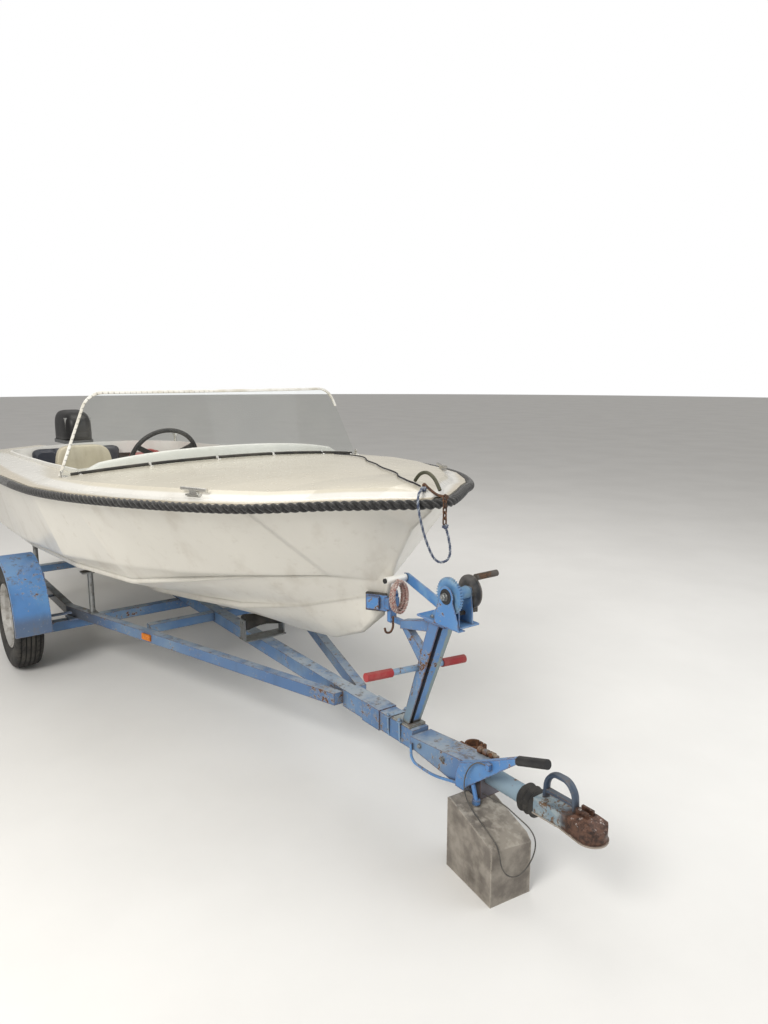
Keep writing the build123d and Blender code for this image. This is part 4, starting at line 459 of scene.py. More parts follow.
def gelcoat(name, base, stain, gloss=0.28, streaks=0.35, soften=0.0, band=None):
    """Sprayed gelcoat: chalky patches, faint runs of dirt, scuffs and specks under a soft shine.
    band is the colour outside the raised panel of the foredeck."""
    f = Finish(name)
    colour = f.mix(f.clouds(0.35, 0.7, 1.6, 4), base, tuple(c * 0.93 for c in base))
    if band is not None:
        x = f.place(0)
        nose = f.calc("MINIMUM", f.line(x, 1.545, 1.112, 0.09), f.line(x, 1.745, 1.130, 0.048))
        sheer = f.calc("MAXIMUM", f.line(x, 0.345, 1.062, 0.0417), nose)
        rise = f.calc("SUBTRACT", f.place(2), sheer)
        colour = f.mix(f.steps(rise, 0.026, 0.033), band, colour)
        colour = f.mix(f.steps(rise, 0.0135, 0.0105), colour, (0.60, 0.54, 0.43))
        colour = f.mix(f.steps(rise, 0.0055, 0.0035), colour, band)
    runs = f.noise(7, 5, 0.6, vector=f.stretched(1.0, 1.0, 0.16))
    colour = f.wash(colour, f.steps(runs, 0.48, 0.78), streaks, stain)
    low = f.clouds(0.55, 0.8, 24, 6, 0.65)
    colour = f.wash(colour, low, 0.25, stain)
    speck = f.steps(f.cells(38), 0.055, 0.03)
    speck = f.calc("MULTIPLY", speck, f.clouds(0.52, 0.62, 6, 2))
    colour = f.wash(colour, speck, 0.75, (0.07, 0.05, 0.035))
    rough = f.level(low, gloss, gloss + 0.22)
    soft = None
    if soften:
        soft = f.add("ShaderNodeBevel", [("Radius", soften)], samples=4).outputs["Normal"]
    normal = f.bump(f.noise(3.5, 3), 0.0018, soft)
    normal = f.bump(f.noise(180, 2), 0.00002, normal)
    return f.done(colour, rough, normal, Coat_Weight=0.2, Coat_Roughness=0.22)


def rubber(name, base, dusty, fine=300, dust=0.5, rough=0.75):
    """Rubber or moulded plastic, greyed with dust and lightly grained."""
    f = Finish(name)
    colour = f.wash(base, f.clouds(0.35, 0.75, 14, 6, 0.65), dust, dusty)
    colour = f.wash(colour, f.upward(), dust * 0.6, dusty)
    rough_value = f.level(f.noise(40, 4), rough - 0.12, rough + 0.12)
    normal = f.bump(f.noise(fine, 4), 0.0003)
    return f.done(colour, rough_value, normal)


def steel(name, base, rough=0.32, tarnish=0.4, metal=1.0):
    """Bare metal with brushed grain, tarnish and small pits."""
    f = Finish(name)
    cloudy = f.clouds(0.42, 0.7, 26, 6, 0.6)
    colour = f.wash(base, cloudy, tarnish, (0.20, 0.17, 0.13))
    pits = f.clouds(0.62, 0.72, 240, 5, 0.7)
    colour = f.wash(colour, pits, tarnish, (0.10, 0.06, 0.03))
    lines = f.noise(60, 3, vector=f.stretched(1, 14, 14))
    values = f.level(f.calc("MAXIMUM", cloudy, pits), rough, min(0.95, rough + 0.35))
    normal = f.bump(lines, 0.00006)
    normal = f.bump(pits, 0.0002, normal)
    return f.done(colour, values, normal, Metallic=metal)


def rusty(name, dark, light, paint=None, cover=0.0, rough=0.85):
    """Rust in flakes from dark brown to orange, with what is left of the paint."""
    f = Finish(name)
    colour = f.mix(f.clouds(0.35, 0.65, 45, 8, 0.7), dark, light)
    colour = f.mix(f.clouds(0.55, 0.7, 300, 3), colour, (0.32, 0.15, 0.06))
    rough_value = f.level(f.noise(90, 4), rough - 0.15, min(1.0, rough + 0.1))
    height = f.noise(130, 8, 0.72)
    if paint is not None:
        left = f.clouds(0.60 - 0.25 * cover, 0.64 - 0.25 * cover, 22, 7, 0.7)
        colour = f.mix(left, colour, paint)
        height = f.calc("ADD", height, left)
    return f.done(colour, rough_value, f.bump(height, 0.0009))


def rope_finish(name, base, light, groove_shade, coil=900, flecks=None):
    """Laid rope: yarns wound round each strand, painted shade in the grooves between strands, worn crowns and flecks
    of another yarn.
    """
    f = Finish(name)
    strand = f.attribute("strand")
    groove = f.attribute("groove")
    colour = f.mix(f.clouds(0.4, 0.7, 120, 5), base, light)
    yarn = f.noise(coil, 2)
    if flecks is not None:
        colour = f.mix(f.clouds(0.52, 0.60, 260, 3), colour, flecks)
    # Painted shade: the grooves between strands darkened
    colour = f.mix(f.steps(groove, 0.18, 0.42), colour, groove_shade)
    colour = f.wash(colour, f.calc("MULTIPLY", f.upward(0.1, 0.9), f.clouds(0.4, 0.7, 20, 5)), 0.5, light)
    waves = f.calc("SINE", f.calc("MULTIPLY", strand, 113.0), 0.0)
    normal = f.bump(f.calc("ADD", yarn, f.calc("MULTIPLY", waves, 0.5)), 0.0006)
    return f.done(colour, 0.85, normal, Sheen_Weight=0.3)


BLUE = enamel("frame_blue", (0.085, 0.185, 0.37), (0.20, 0.31, 0.45), chips=0.9, dust=0.8)
POST_BLUE = enamel("post_blue", (0.095, 0.205, 0.42), (0.19, 0.31, 0.46), chips=1.1, dust=0.6,
                   zones=[(2, 0.345, 0.318, (0.44, 0.37, 0.25), 0.85),
                          (2, 0.50, 0.36, (0.20, 0.27, 0.27), 0.6)])
HOUSING_BLUE = enamel("housing_blue", (0.085, 0.18, 0.37), (0.17, 0.27, 0.40), chips=1.3, dust=0.7,
                      zones=[(0, 2.20, 2.245, (0.15, 0.10, 0.065), 0.7)])
# The side members go dark grey towards their aft ends: painted shadow
MEMBER_BLUE = enamel("member_blue", (0.085, 0.17, 0.34), (0.17, 0.26, 0.38), chips=0.9, dust=0.6,
                     zones=[(0, 0.10, -0.25, (0.085, 0.085, 0.085), 0.85)])
PALE_BLUE = enamel("pale_blue", (0.20, 0.34, 0.52), (0.36, 0.46, 0.56), chips=0.8, dust=0.5)
LEVER_BLUE = enamel("lever_blue", (0.030, 0.055, 0.10), (0.075, 0.10, 0.14), chips=0.9, dust=0.4,
                    dusty=(0.20, 0.21, 0.21))
GUARD_BLUE = enamel("guard_blue", (0.090, 0.235, 0.52), (0.15, 0.33, 0.58), chips=0.6, dust=0.25,
                    zones=[(2, 0.37, 0.31, (0.10, 0.09, 0.08), 0.6)])
GEAR_BLUE = enamel("gear_blue", (0.075, 0.22, 0.50), (0.16, 0.32, 0.54), chips=0.9, dust=0.3)
HULL = gelcoat("hull_white", (0.745, 0.72, 0.655), (0.36, 0.30, 0.22), soften=0.03)
DECK = gelcoat("deck_cream", (0.64, 0.60, 0.50), (0.38, 0.33, 0.25), gloss=0.24, streaks=0.22,
               band=(0.74, 0.73, 0.69))
INNER = gelcoat("inner_grey", (0.46, 0.44, 0.39), (0.20, 0.16, 0.12), gloss=0.6, streaks=0.6)
SEAT = gelcoat("seat_cream", (0.52, 0.47, 0.35), (0.22, 0.18, 0.12), gloss=0.42, streaks=0.55)
WHITE = gelcoat("white_plastic", (0.83, 0.82, 0.78), (0.50, 0.46, 0.40), gloss=0.4, streaks=0.2)
BLACK_RUBBER = rubber("black_rubber", (0.018, 0.018, 0.018), (0.12, 0.105, 0.085))
DASH = rubber("dash_black", (0.022, 0.022, 0.024), (0.10, 0.09, 0.08), fine=900, dust=0.35, rough=0.6)
GRIP_RED = rubber("grip_red", (0.36, 0.030, 0.035), (0.40, 0.17, 0.14), fine=500, dust=0.55)
GRIP_BLACK = rubber("grip_black", (0.012, 0.012, 0.014), (0.08, 0.075, 0.07), fine=700, dust=0.3, rough=0.5)
HOSE = rubber("hose_olive", (0.045, 0.048, 0.028), (0.16, 0.15, 0.10), fine=600, dust=0.5)
CABLE = rubber("cable_grey", (0.05, 0.05, 0.048), (0.20, 0.18, 0.15), fine=800, dust=0.6)
CORD = rubber("cord_black", (0.012, 0.012, 0.016), (0.06, 0.06, 0.07), fine=1400, dust=0.5, rough=0.9)
STAINLESS = steel("stainless", (0.62, 0.61, 0.58), 0.22, 0.25)
ALLOY = steel("alloy", (0.48, 0.48, 0.47), 0.42, 0.4)
ZINC = steel("zinc", (0.34, 0.35, 0.35), 0.5, 0.45)
RIM = steel("rim_silver", (0.50, 0.49, 0.47), 0.48, 0.5, metal=0.6)
MOTOR_GREY = enamel("motor_grey", (0.10, 0.105, 0.11), (0.15, 0.155, 0.16), chips=0.25, dust=0.3, tall=0.5)
RUST = rusty("rust", (0.030, 0.018, 0.013), (0.115, 0.055, 0.032))
CRANK = rusty("crank_rust", (0.035, 0.022, 0.016), (0.11, 0.06, 0.036), paint=(0.09, 0.08, 0.07), cover=0.5)
TUBE_RUST = rusty("tube_rust", (0.10, 0.055, 0.03), (0.26, 0.14, 0.07), paint=(0.24, 0.33, 0.40), cover=0.8)
# Each rope's third colour is the painted shade in its grooves
PINK_ROPE = rope_finish("rope_pink", (0.50, 0.30, 0.25), (0.80, 0.74, 0.68), (0.07, 0.035, 0.03),
                        flecks=(0.36, 0.09, 0.08))
BLACK_ROPE = rope_finish("rope_black", (0.009, 0.009, 0.010), (0.050, 0.048, 0.046), (0.002, 0.002, 0.002))


def speckled_rope():
    """Faded blue rope whose strands take turns with pale ones."""
    f = Finish("rope_blue")
    strand = f.steps(f.calc("PINGPONG", f.attribute("strand"), 0.5), 0.2, 0.3)
    colour = f.mix(strand, (0.055, 0.08, 0.16), (0.36, 0.40, 0.46))
    colour = f.mix(f.clouds(0.5, 0.62, 400, 4), colour, (0.05, 0.06, 0.09))
    # Painted shade: the grooves between strands darkened
    colour = f.mix(f.steps(f.attribute("groove"), 0.18, 0.42), colour, (0.01, 0.012, 0.02))
    return f.done(colour, 0.85, f.bump(f.noise(1200, 2), 0.0005), Sheen_Weight=0.3)


BLUE_ROPE = speckled_rope()

# Deck cord, hose, bow rope, brake cable and rope hank, along the same routes as in the model
lashing_route = shifted([
    (1.094, 0.452, 1.1463), (1.140, 0.473, 1.1466), (1.196, 0.482, 1.1480), (1.262, 0.476, 1.1502),
    (1.330, 0.458, 1.1532), (1.396, 0.426, 1.1570), (1.462, 0.386, 1.1613), (1.530, 0.340, 1.1654),
    (1.600, 0.304, 1.1683), (1.674, 0.276, 1.1708), (1.744, 0.246, 1.1734), (1.812, 0.208, 1.1759),
    (1.880, 0.180, 1.1767), (1.950, 0.160, 1.1771), (2.016, 0.134, 1.1786), (2.078, 0.098, 1.1829),
    (2.132, 0.056, 1.1868), (2.184, 0.026, 1.1888), (2.236, 0.006, 1.1897), (2.284, -0.014, 1.1898),
    (2.326, -0.020, 1.1883), (2.356, -0.020, 1.1817)])
lashing = plain_cord("lashing_cord_braid", lashing_route, 0.003, CORD)
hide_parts("lashing_cord")

hose_route = shifted([(2.296, 0.006, 1.190), (2.313, 0.005, 1.210), (2.340, 0.004, 1.224), (2.371, 0.002, 1.226),
                      (2.402, -0.001, 1.214), (2.426, -0.005, 1.195), (2.442, -0.008, 1.177)])
hose = plain_cord("bow_hose_arch", hose_route, 0.006, HOSE)
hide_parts("bow_hose")

BOW_ROPE_LAY = 0.026
bow_route = shifted([
    (2.388, -0.034, 1.178), (2.402, -0.056, 1.176), (2.420, -0.080, 1.165), (2.440, -0.097, 1.142),
    (2.446, -0.095, 1.104), (2.444, -0.082, 1.066), (2.445, -0.070, 1.028), (2.445, -0.054, 0.992),
    (2.444, -0.036, 0.961), (2.4545, -0.0245, 0.945), (2.4695, -0.0075, 0.945), (2.480, 0.004, 0.961),
    (2.481, 0.006, 0.990), (2.480, 0.000, 1.020), (2.480, -0.008, 1.048), (2.479, -0.014, 1.060)])
bow_rope, bow_path = laid_rope("bow_rope_laid", line_points(bow_route), 0.0045, BOW_ROPE_LAY, BLUE_ROPE,
                               "rope_blue", 0.0012, around=18)


def rope_knot(name, centre, size):
    """An overhand knot pulled tight: a rope that goes two and three times round a small ring."""
    t = np.linspace(0, 2 * math.pi, 140)
    ring = size * (1 + 0.42 * np.cos(3 * t))
    path = np.stack([ring * np.cos(2 * t), ring * np.sin(2 * t), size * 0.75 * np.sin(3 * t)], axis=1)
    return laid_rope(name, path + np.asarray(centre, float), 0.0044, BOW_ROPE_LAY, BLUE_ROPE,
                     "rope_blue", 0.0014, around=12)[0]


end_knot = rope_knot("bow_rope_end_knot", at(2.479, -0.015, 1.066), 0.0056)
bar_knot = rope_knot("bow_rope_bar_knot", at(2.386, -0.030, 1.1765), 0.0058)
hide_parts("bow_rope")

cable_route = shifted([
    (2.7597, -0.080, 0.382), (2.736, -0.080, 0.382), (2.712, -0.081, 0.372), (2.690, -0.083, 0.350),
    (2.676, -0.086, 0.322), (2.671, -0.089, 0.292), (2.678, -0.093, 0.264), (2.698, -0.099, 0.244),
    (2.728, -0.106, 0.231), (2.762, -0.112, 0.221), (2.798, -0.119, 0.212), (2.832, -0.126, 0.204),
    (2.864, -0.133, 0.196), (2.880, -0.136, 0.172), (2.883, -0.133, 0.140), (2.885, -0.120, 0.112),
    (2.886, -0.098, 0.090), (2.887, -0.070, 0.079), (2.888, -0.042, 0.084), (2.890, -0.018, 0.102),
    (2.892, -0.003, 0.128), (2.893, 0.003, 0.158), (2.888, 0.000, 0.186), (2.870, -0.005, 0.207),
    (2.842, -0.009, 0.217), (2.810, -0.010, 0.225), (2.776, -0.009, 0.232), (2.746, -0.020, 0.240),
    (2.722, -0.032, 0.246), (2.7003, -0.032, 0.246)])
cable = plain_cord("breakaway_cable_wire", cable_route, 0.002, CABLE)
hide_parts("breakaway_cable")


def hank_route(points=14):
    """Turns of an upright oval coil: each eases into the next one's size and place."""
    # Each turn's half width, half height and place from aft to fore
    turns = [(0.031, 0.059, -0.0105), (0.022, 0.049, -0.0105), (0.031, 0.060, 0.0), (0.022, 0.047, 0.0),
             (0.031, 0.058, 0.0105)]
    route = []
    for now, after in zip(turns, turns[1:] + turns[-1:]):
        for k in range(points):
            share = k / points
            ease = max(0.0, (share - 0.75) / 0.25)
            half, tall, x = (a + (b - a) * ease for a, b in zip(now, after))
            angle = math.pi / 2 - 2 * math.pi * share
            route.append(at(2.2273 + x, -0.008 + half * math.cos(angle), 0.7695 + tall * math.sin(angle)))
    return route


hank_points = hank_route()
hank, hank_path = laid_rope("rope_hank_turns", line_points(hank_points), 0.0053, 0.030, PINK_ROPE,
                            "rope_pink", 0.002, around=16)
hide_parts("winch_rope_hank")

# Fender rope, held all the way along the sheer: one half's route, mirrored
sheer = [(-1.7514, 0.7924, 0.956), (-0.9014, 0.8655, 0.979), (-0.0007, 0.9103, 1.020), (0.8015, 0.9296, 1.056),
         (1.2048, 0.8723, 1.074), (1.5074, 0.7826, 1.088), (1.8106, 0.6516, 1.100), (2.0122, 0.5160, 1.106),
         (2.1443, 0.4007, 1.118), (2.2128, 0.3109, 1.124), (2.3038, 0.2119, 1.129), (2.4033, 0.0907, 1.133),
         (2.4405, 0.0316, 1.133)]
fender_route = shifted([(x, -y, z) for x, y, z in sheer] + sheer[::-1])


def sleeved(points):
    """1 along the after part, where a smooth sleeve covers the rope."""
    return np.clip((0.52 - AXLE_AFT - points[:, 0]) / 0.02, 0, 1)


fender = laid_rope("fender_rope", line_points(fender_route), 0.017, 0.088, BLACK_ROPE, "rope_black", 0.0045,
                   plain=sleeved, around=30)[0]
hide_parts("gunwale_rope")


# Finishes that differ from place to place
def glass():
    """Clear acrylic, slightly grey, hazed with dust and fine scratches."""
    f = Finish("screen_glass")
    haze = f.clouds(0.4, 0.8, 5, 6, 0.7)
    scratches = f.clouds(0.60, 0.68, 40, 4, 0.6, vector=f.stretched(1, 0.25, 6))
    rough = f.level(f.calc("MAXIMUM", haze, scratches), 0.02, 0.06)
    clear = f.add("ShaderNodeBsdfTransparent", [("Color", (0.955, 0.965, 0.96))]).outputs["BSDF"]
    shine = f.add("ShaderNodeBsdfGlossy", [("Color", (1.0, 1.0, 1.0)), ("Roughness", rough)]).outputs["BSDF"]
    milk = f.add("ShaderNodeBsdfDiffuse", [("Color", (0.62, 0.60, 0.56))]).outputs["BSDF"]
    slant = f.add("ShaderNodeLayerWeight", [("Blend", 0.35)]).outputs["Facing"]
    mirror = f.level(f.calc("POWER", slant, 4.0), 0.004, 0.35)
    pane = f.add("ShaderNodeMixShader", [(0, f.level(haze, 0.010, 0.055)), (1, clear), (2, milk)]).outputs[0]
    whole = f.add("ShaderNodeMixShader", [(0, mirror), (1, pane), (2, shine)]).outputs[0]
    out = f.add("ShaderNodeOutputMaterial")
    f.tree.links.new(whole, out.inputs["Surface"])
    return f.material


def trim():
    """White channel trim, a little yellowed, with short dark ticks along its inner lip."""
    f = Finish("white_trim")
    colour = f.mix(f.clouds(0.4, 0.7, 12, 4), (0.84, 0.83, 0.79), (0.66, 0.63, 0.55))
    colour = f.wash(colour, f.clouds(0.55, 0.7, 60, 6, 0.7), 0.35, (0.33, 0.30, 0.24))
    colour = f.wash(colour, f.attribute("tick"), 0.6, (0.10, 0.10, 0.10))
    return f.done(colour, f.level(f.noise(40, 4), 0.3, 0.55), f.bump(f.noise(220, 3), 0.0002))


def drum_finish():
    """Blue gear and cheek side, with the plain disc on the other side gone to dull grey."""
    f = Finish("winch_drum_paint")
    far = f.steps(f.place(1), 0.030, 0.034)
    blue = f.mix(f.clouds(0.4, 0.65, 20, 5), (0.10, 0.24, 0.46), (0.22, 0.36, 0.50))
    grey = f.mix(f.clouds(0.35, 0.65, 28, 6), (0.035, 0.034, 0.033), (0.13, 0.12, 0.11))
    colour = f.mix(far, blue, grey)
    worn = f.calc("ADD", f.noise(90, 7, 0.7), f.level(f.edges(0.003), 0.0, 0.22))
    chipped = f.steps(worn, 0.66, 0.72)
    colour = f.mix(chipped, colour, f.mix(f.noise(200, 3), (0.07, 0.04, 0.025), (0.30, 0.24, 0.18)))
    return f.done(colour, f.level(chipped, 0.45, 0.85), f.bump(f.calc("SUBTRACT", 1.0, chipped), 0.0005))


def winch_frame_finish():
    """Blue enamel with bare cream edges on the base plate and a black cap on the roller's starboard end."""
    f = Finish("winch_frame_paint")
    blue = f.mix(f.clouds(0.42, 0.66, 18, 5), (0.075, 0.22, 0.50), (0.16, 0.32, 0.54))
    edge = f.calc("ADD", f.noise(70, 7, 0.7), f.level(f.edges(0.004), 0.0, 0.34))
    bare = f.mix(f.noise(90, 3), (0.16, 0.09, 0.05), (0.58, 0.50, 0.40))
    colour = f.mix(f.steps(edge, 0.66, 0.72), blue, bare)
    # Painted shade: corners darkened to a dark grime brown
    colour = f.wash(colour, f.shaded_hollows(0.03), 0.8, (0.045, 0.035, 0.03))
    cap = f.calc("MULTIPLY", f.steps(f.place(1), -0.0435, -0.0445), f.steps(f.place(0), 1.775, 1.765))
    colour = f.mix(cap, colour, (0.012, 0.012, 0.012))
    return f.done(colour, f.level(f.noise(60, 4), 0.4, 0.75), f.bump(f.noise(150, 6, 0.7), 0.0005))


def clamp_finish():
    """Rusty clamp whose flange still has cream and blue paint on it."""
    f = Finish("clamp_rust")
    rust = f.mix(f.clouds(0.35, 0.65, 45, 8, 0.7), (0.045, 0.022, 0.013), (0.17, 0.07, 0.03))
    paint = f.mix(f.clouds(0.45, 0.6, 28, 5), (0.46, 0.43, 0.34), (0.20, 0.29, 0.38))
    left = f.calc("MULTIPLY", f.clouds(0.42, 0.50, 32, 7, 0.7), f.steps(f.place(2), 0.335, 0.365))
    colour = f.mix(left, rust, paint)
    return f.done(colour, f.level(left, 0.88, 0.6), f.bump(f.calc("ADD", f.noise(130, 8, 0.72), left), 0.0009))


def coupling_finish():
    """Pale blue paint aft that gives way to brown rust, painted white glints on its upper faces and bare shine
    towards the nose.
    """
    f = Finish("coupling_paint_worn")
    forward = f.steps(f.calc("ADD", f.place(0), f.level(f.noise(40, 6), -0.03, 0.03)), 2.530, 2.580)
    paint = f.mix(f.clouds(0.4, 0.6, 30, 6), (0.22, 0.30, 0.36), (0.36, 0.42, 0.44))
    chips = f.clouds(0.52, 0.58, 70, 7, 0.7)
    aft = f.mix(chips, paint, (0.16, 0.10, 0.06))
    nose = f.mix(f.clouds(0.35, 0.6, 50, 7, 0.7), (0.030, 0.016, 0.012), (0.13, 0.065, 0.042))
    # Painted highlights: white glints on the nose's upward faces
    glint_on_top = f.calc("MULTIPLY", f.clouds(0.58, 0.62, 80, 8, 0.75), f.upward(0.2, 0.8))
    nose = f.wash(nose, glint_on_top, 0.85, (0.62, 0.58, 0.55))
    colour = f.mix(forward, aft, nose)
    low = f.steps(f.place(2), 0.2935, 0.2925)
    colour = f.wash(colour, low, 0.8, (0.40, 0.35, 0.30))
    rough = f.level(f.noise(60, 4), 0.25, 0.6)
    return f.done(colour, rough, f.bump(f.noise(140, 8, 0.7), 0.0008), Metallic=0.3)


def stone():
    """Dirty grey block: pitted faces, dark damp stains, pale worn edges."""
    f = Finish("stone")
    colour = f.mix(f.clouds(0.35, 0.65, 14, 7, 0.6), (0.17, 0.15, 0.13), (0.32, 0.29, 0.25))
    colour = f.wash(colour, f.clouds(0.5, 0.72, 8, 4), 0.75, (0.075, 0.062, 0.05))
    edge = f.calc("MULTIPLY", f.edges(0.010), f.clouds(0.35, 0.55, 45, 5))
    colour = f.wash(colour, edge, 0.8, (0.48, 0.44, 0.38))
    top = f.calc("MULTIPLY", f.upward(0.4, 0.8), f.clouds(0.45, 0.65, 35, 6))
    colour = f.wash(colour, top, 0.6, (0.50, 0.46, 0.40))
    pits = f.steps(f.cells(150), 0.16, 0.05)
    height = f.calc("SUBTRACT", f.noise(60, 8, 0.7), f.calc("MULTIPLY", pits, 0.5))
    return f.done(colour, 0.9, f.bump(height, 0.0022))


def cowl():
    """Near-black motor cover with a little dust on top and a seam round its foot."""
    f = Finish("motor_black")
    colour = f.mix(f.clouds(0.4, 0.7, 9, 5), (0.005, 0.005, 0.006), (0.012, 0.012, 0.012))
    dust = f.calc("MULTIPLY", f.upward(), f.clouds(0.3, 0.7, 25, 5))
    colour = f.wash(colour, dust, 0.14, (0.06, 0.055, 0.05))
    seam = f.steps(f.calc("ABSOLUTE", f.calc("SUBTRACT", f.place(2), 1.085)), 0.004, 0.002)
    normal = f.bump(f.calc("SUBTRACT", f.level(f.noise(300, 2), 0, 0.1), seam), 0.001)
    return f.done(colour, f.level(f.noise(30, 4), 0.34, 0.5), normal)


def timber():
    """Weathered grey-brown boards with grain along the boat."""
    f = Finish("timber")
    grain = f.noise(55, 6, 0.6, vector=f.stretched(0.12, 1.6, 1.6), distortion=0.4)
    colour = f.mix(f.steps(grain, 0.3, 0.7), (0.10, 0.07, 0.045), (0.28, 0.21, 0.145))
    colour = f.wash(colour, f.clouds(0.5, 0.7, 10, 5), 0.6, (0.20, 0.19, 0.17))
    return f.done(colour, 0.85, f.bump(grain, 0.001))


def tank():
    """Red enamel fuel can, rubbed through at its edges."""
    f = Finish("tank_red")
    colour = f.mix(f.clouds(0.35, 0.7, 8, 5), (0.38, 0.020, 0.016), (0.26, 0.022, 0.018))
    worn = f.steps(f.calc("ADD", f.noise(70, 7, 0.7), f.level(f.edges(0.008), 0, 0.22)), 0.68, 0.73)
    colour = f.mix(worn, colour, (0.14, 0.11, 0.09))
    return f.done(colour, f.level(worn, 0.35, 0.8), f.bump(f.noise(350, 2), 0.0001))


def amber():
    """Moulded orange lens with a prism pattern."""
    f = Finish("amber")
    prism = f.calc("PINGPONG", f.calc("MULTIPLY", f.calc("ADD", f.place(0), f.place(2)), 400.0), 1.0)
    colour = f.mix(f.clouds(0.4, 0.7, 60, 5), (0.85, 0.25, 0.010), (0.62, 0.17, 0.01))
    return f.done(colour, f.level(prism, 0.15, 0.4), f.bump(prism, 0.0006), Transmission_Weight=0.15)


def tyre_finish():
    """Old tyre rubber: grey-brown dust on the shoulders, and painted shade darkening the tread grooves."""
    f = Finish("tyre")
    colour = f.wash((0.016, 0.016, 0.016), f.clouds(0.35, 0.7, 12, 6, 0.6), 0.7, (0.085, 0.078, 0.068))
    # Painted shade: tread grooves darkened by their depth
    colour = f.mix(f.steps(f.attribute("groove"), 0.3, 0.8), colour, (0.006, 0.006, 0.006))
    crack = f.noise(160, 6, 0.7, vector=f.stretched(1, 2.5, 1))
    return f.done(colour, 0.82, f.bump(crack, 0.0005))


PAINTS = {
    "hull": HULL, "deck": DECK, "motor_well": HULL, "cockpit_coaming": WHITE, "cockpit_floor": INNER,
    "dashboard": DASH, "windscreen": glass(), "windscreen_seal": BLACK_RUBBER,
    "deck_fittings": STAINLESS, "aft_bench": INNER, "fuel_tank": tank(),
    "steering_wheel": DASH, "outboard_clamp": ALLOY, "outboard_swivel": MOTOR_GREY,
    "engine_block": ALLOY, "outboard_leg": MOTOR_GREY, "propeller": ALLOY, "rim_starboard": RIM, "rim_port": RIM,
    "axle_beam": BLUE, "mudguards": GUARD_BLUE, "drawbar": BLUE, "side_member_starboard": MEMBER_BLUE,
    "side_member_port": MEMBER_BLUE, "cross_members": BLUE, "bunk_boards": timber(), "hull_supports": ZINC,
    "keel_rollers": BLACK_RUBBER, "winch_post": POST_BLUE, "handle_bar": PALE_BLUE, "handle_grips": GRIP_RED,
    "winch_frame": winch_frame_finish(), "winch_drum": drum_finish(), "winch_crank": CRANK, "stem_roller": WHITE,
    "bow_stop": GEAR_BLUE, "bow_stop_pads": BLACK_RUBBER, "overrun_housing": HOUSING_BLUE, "overrun_tube": TUBE_RUST,
    "overrun_bellows": BLACK_RUBBER, "coupling_head": coupling_finish(), "coupling_handle": LEVER_BLUE,
    "jockey_clamp": clamp_finish(), "handbrake_lever": GEAR_BLUE, "handbrake_grip": GRIP_BLACK,
    "support_block": stone(), "side_reflectors": amber(), "chain_and_hook": RUST,
}
TYRE = tyre_finish()
for node, paint in PAINTS.items():
    for entry in NODES[node].material_slots:
        entry.material = paint


# Tyres
TREAD_DEPTH = 0.0055
RIM_EDGE_R = 0.1714
WHEEL_CENTRE_Z = 0.281
STUD_R = 0.050


def tyre_piece(name, side, wheel):
    """A worn road tyre: a bulged section turned round the axle. The tread is lowered where a wave across it
    makes the grooves between ribs, and where a wave round the shoulders makes the sipes."""
    lo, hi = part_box(wheel)
    radius, half = (hi.z - lo.z) / 2 - 0.0005, (hi.y - lo.y) / 2 - 0.0005
    centre = (lo + hi) / 2
    inner = RIM_EDGE_R
    profile = [(inner, -half * 0.72), (inner + 0.008, -half * 0.80), (inner + 0.03, -half * 0.93),
               (radius * 0.80, -half), (radius * 0.90, -half * 0.97), (radius * 0.962, -half * 0.86),
               (radius * 0.985, -half * 0.74)]
    tread = np.linspace(-0.66, 0.66, 45)
    outer = [(radius * (1 - 0.012 * (t / 0.74) ** 2), half * t) for t in tread]
    inside = [(RIM_EDGE_R - 0.0008, half * 0.4), (RIM_EDGE_R - 0.0008, -half * 0.4)]
    profile = profile + outer + [(r, -w) for r, w in profile[::-1]] + inside
    r, w = np.array(profile).T
    turns = 300
    angle = np.linspace(0, 2 * math.pi, turns, endpoint=False)
    share = np.clip(1 - np.abs(w / half) / 0.70, 0, 1) * (r > radius * 0.97)
    ribs = np.clip(1.6 - np.abs(((w / half + 0.48) % 0.32) - 0.16) * 26, 0, 1) * (share > 0)
    phase = (angle[:, None] * 50 / (2 * math.pi) + 2.2 * w[None, :] / half) % 1
    shoulder = (np.abs(w / half) > 0.40) & ((share > 0) | (r > radius * 0.975))
    sipes = np.clip(1.5 - np.abs(phase - 0.5) * 16, 0, 1) * shoulder[None, :]
    depth = TREAD_DEPTH * np.maximum(np.broadcast_to(ribs, sipes.shape), sipes)
    rr = r[None, :] - depth
    verts = np.stack([centre.x + rr * np.cos(angle)[:, None], np.broadcast_to(centre.y + w * side, rr.shape),
                      centre.z + rr * np.sin(angle)[:, None]], axis=-1)
    columns = len(r)
    a = np.arange(turns * columns).reshape(turns, columns)
    b = np.roll(a, -1, axis=0)
    faces = np.stack([a, np.roll(a, -1, axis=1), np.roll(b, -1, axis=1), b], axis=-1).reshape(-1, 4)
    body = "wheel_starboard" if "starboard" in wheel else "wheel_port"
    piece = mesh_piece(name, verts.reshape(-1, 3), faces, TYRE, body, "tyre")
    stored(piece, "groove", depth / TREAD_DEPTH)
    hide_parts(wheel)


tyre_piece("tyre_starboard_tread", -1, "tyre_starboard")
tyre_piece("tyre_port_tread", 1, "tyre_port")


# Heights of the deck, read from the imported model
def surface_tree(node):
    """Search tree over one node's faces."""
    mesh = NODES[node].data
    return BVHTree.FromPolygons([v.co.copy() for v in mesh.vertices], [tuple(p.vertices) for p in mesh.polygons])


DECK_TREE = surface_tree("deck")


def deck_height(x, y):
    """Height of the deck's upper side at a place from the axle."""
    hit = DECK_TREE.ray_cast(Vector((x - AXLE_AFT, y, 2.0)), Vector((0, 0, -1)))[0]
    return hit.z


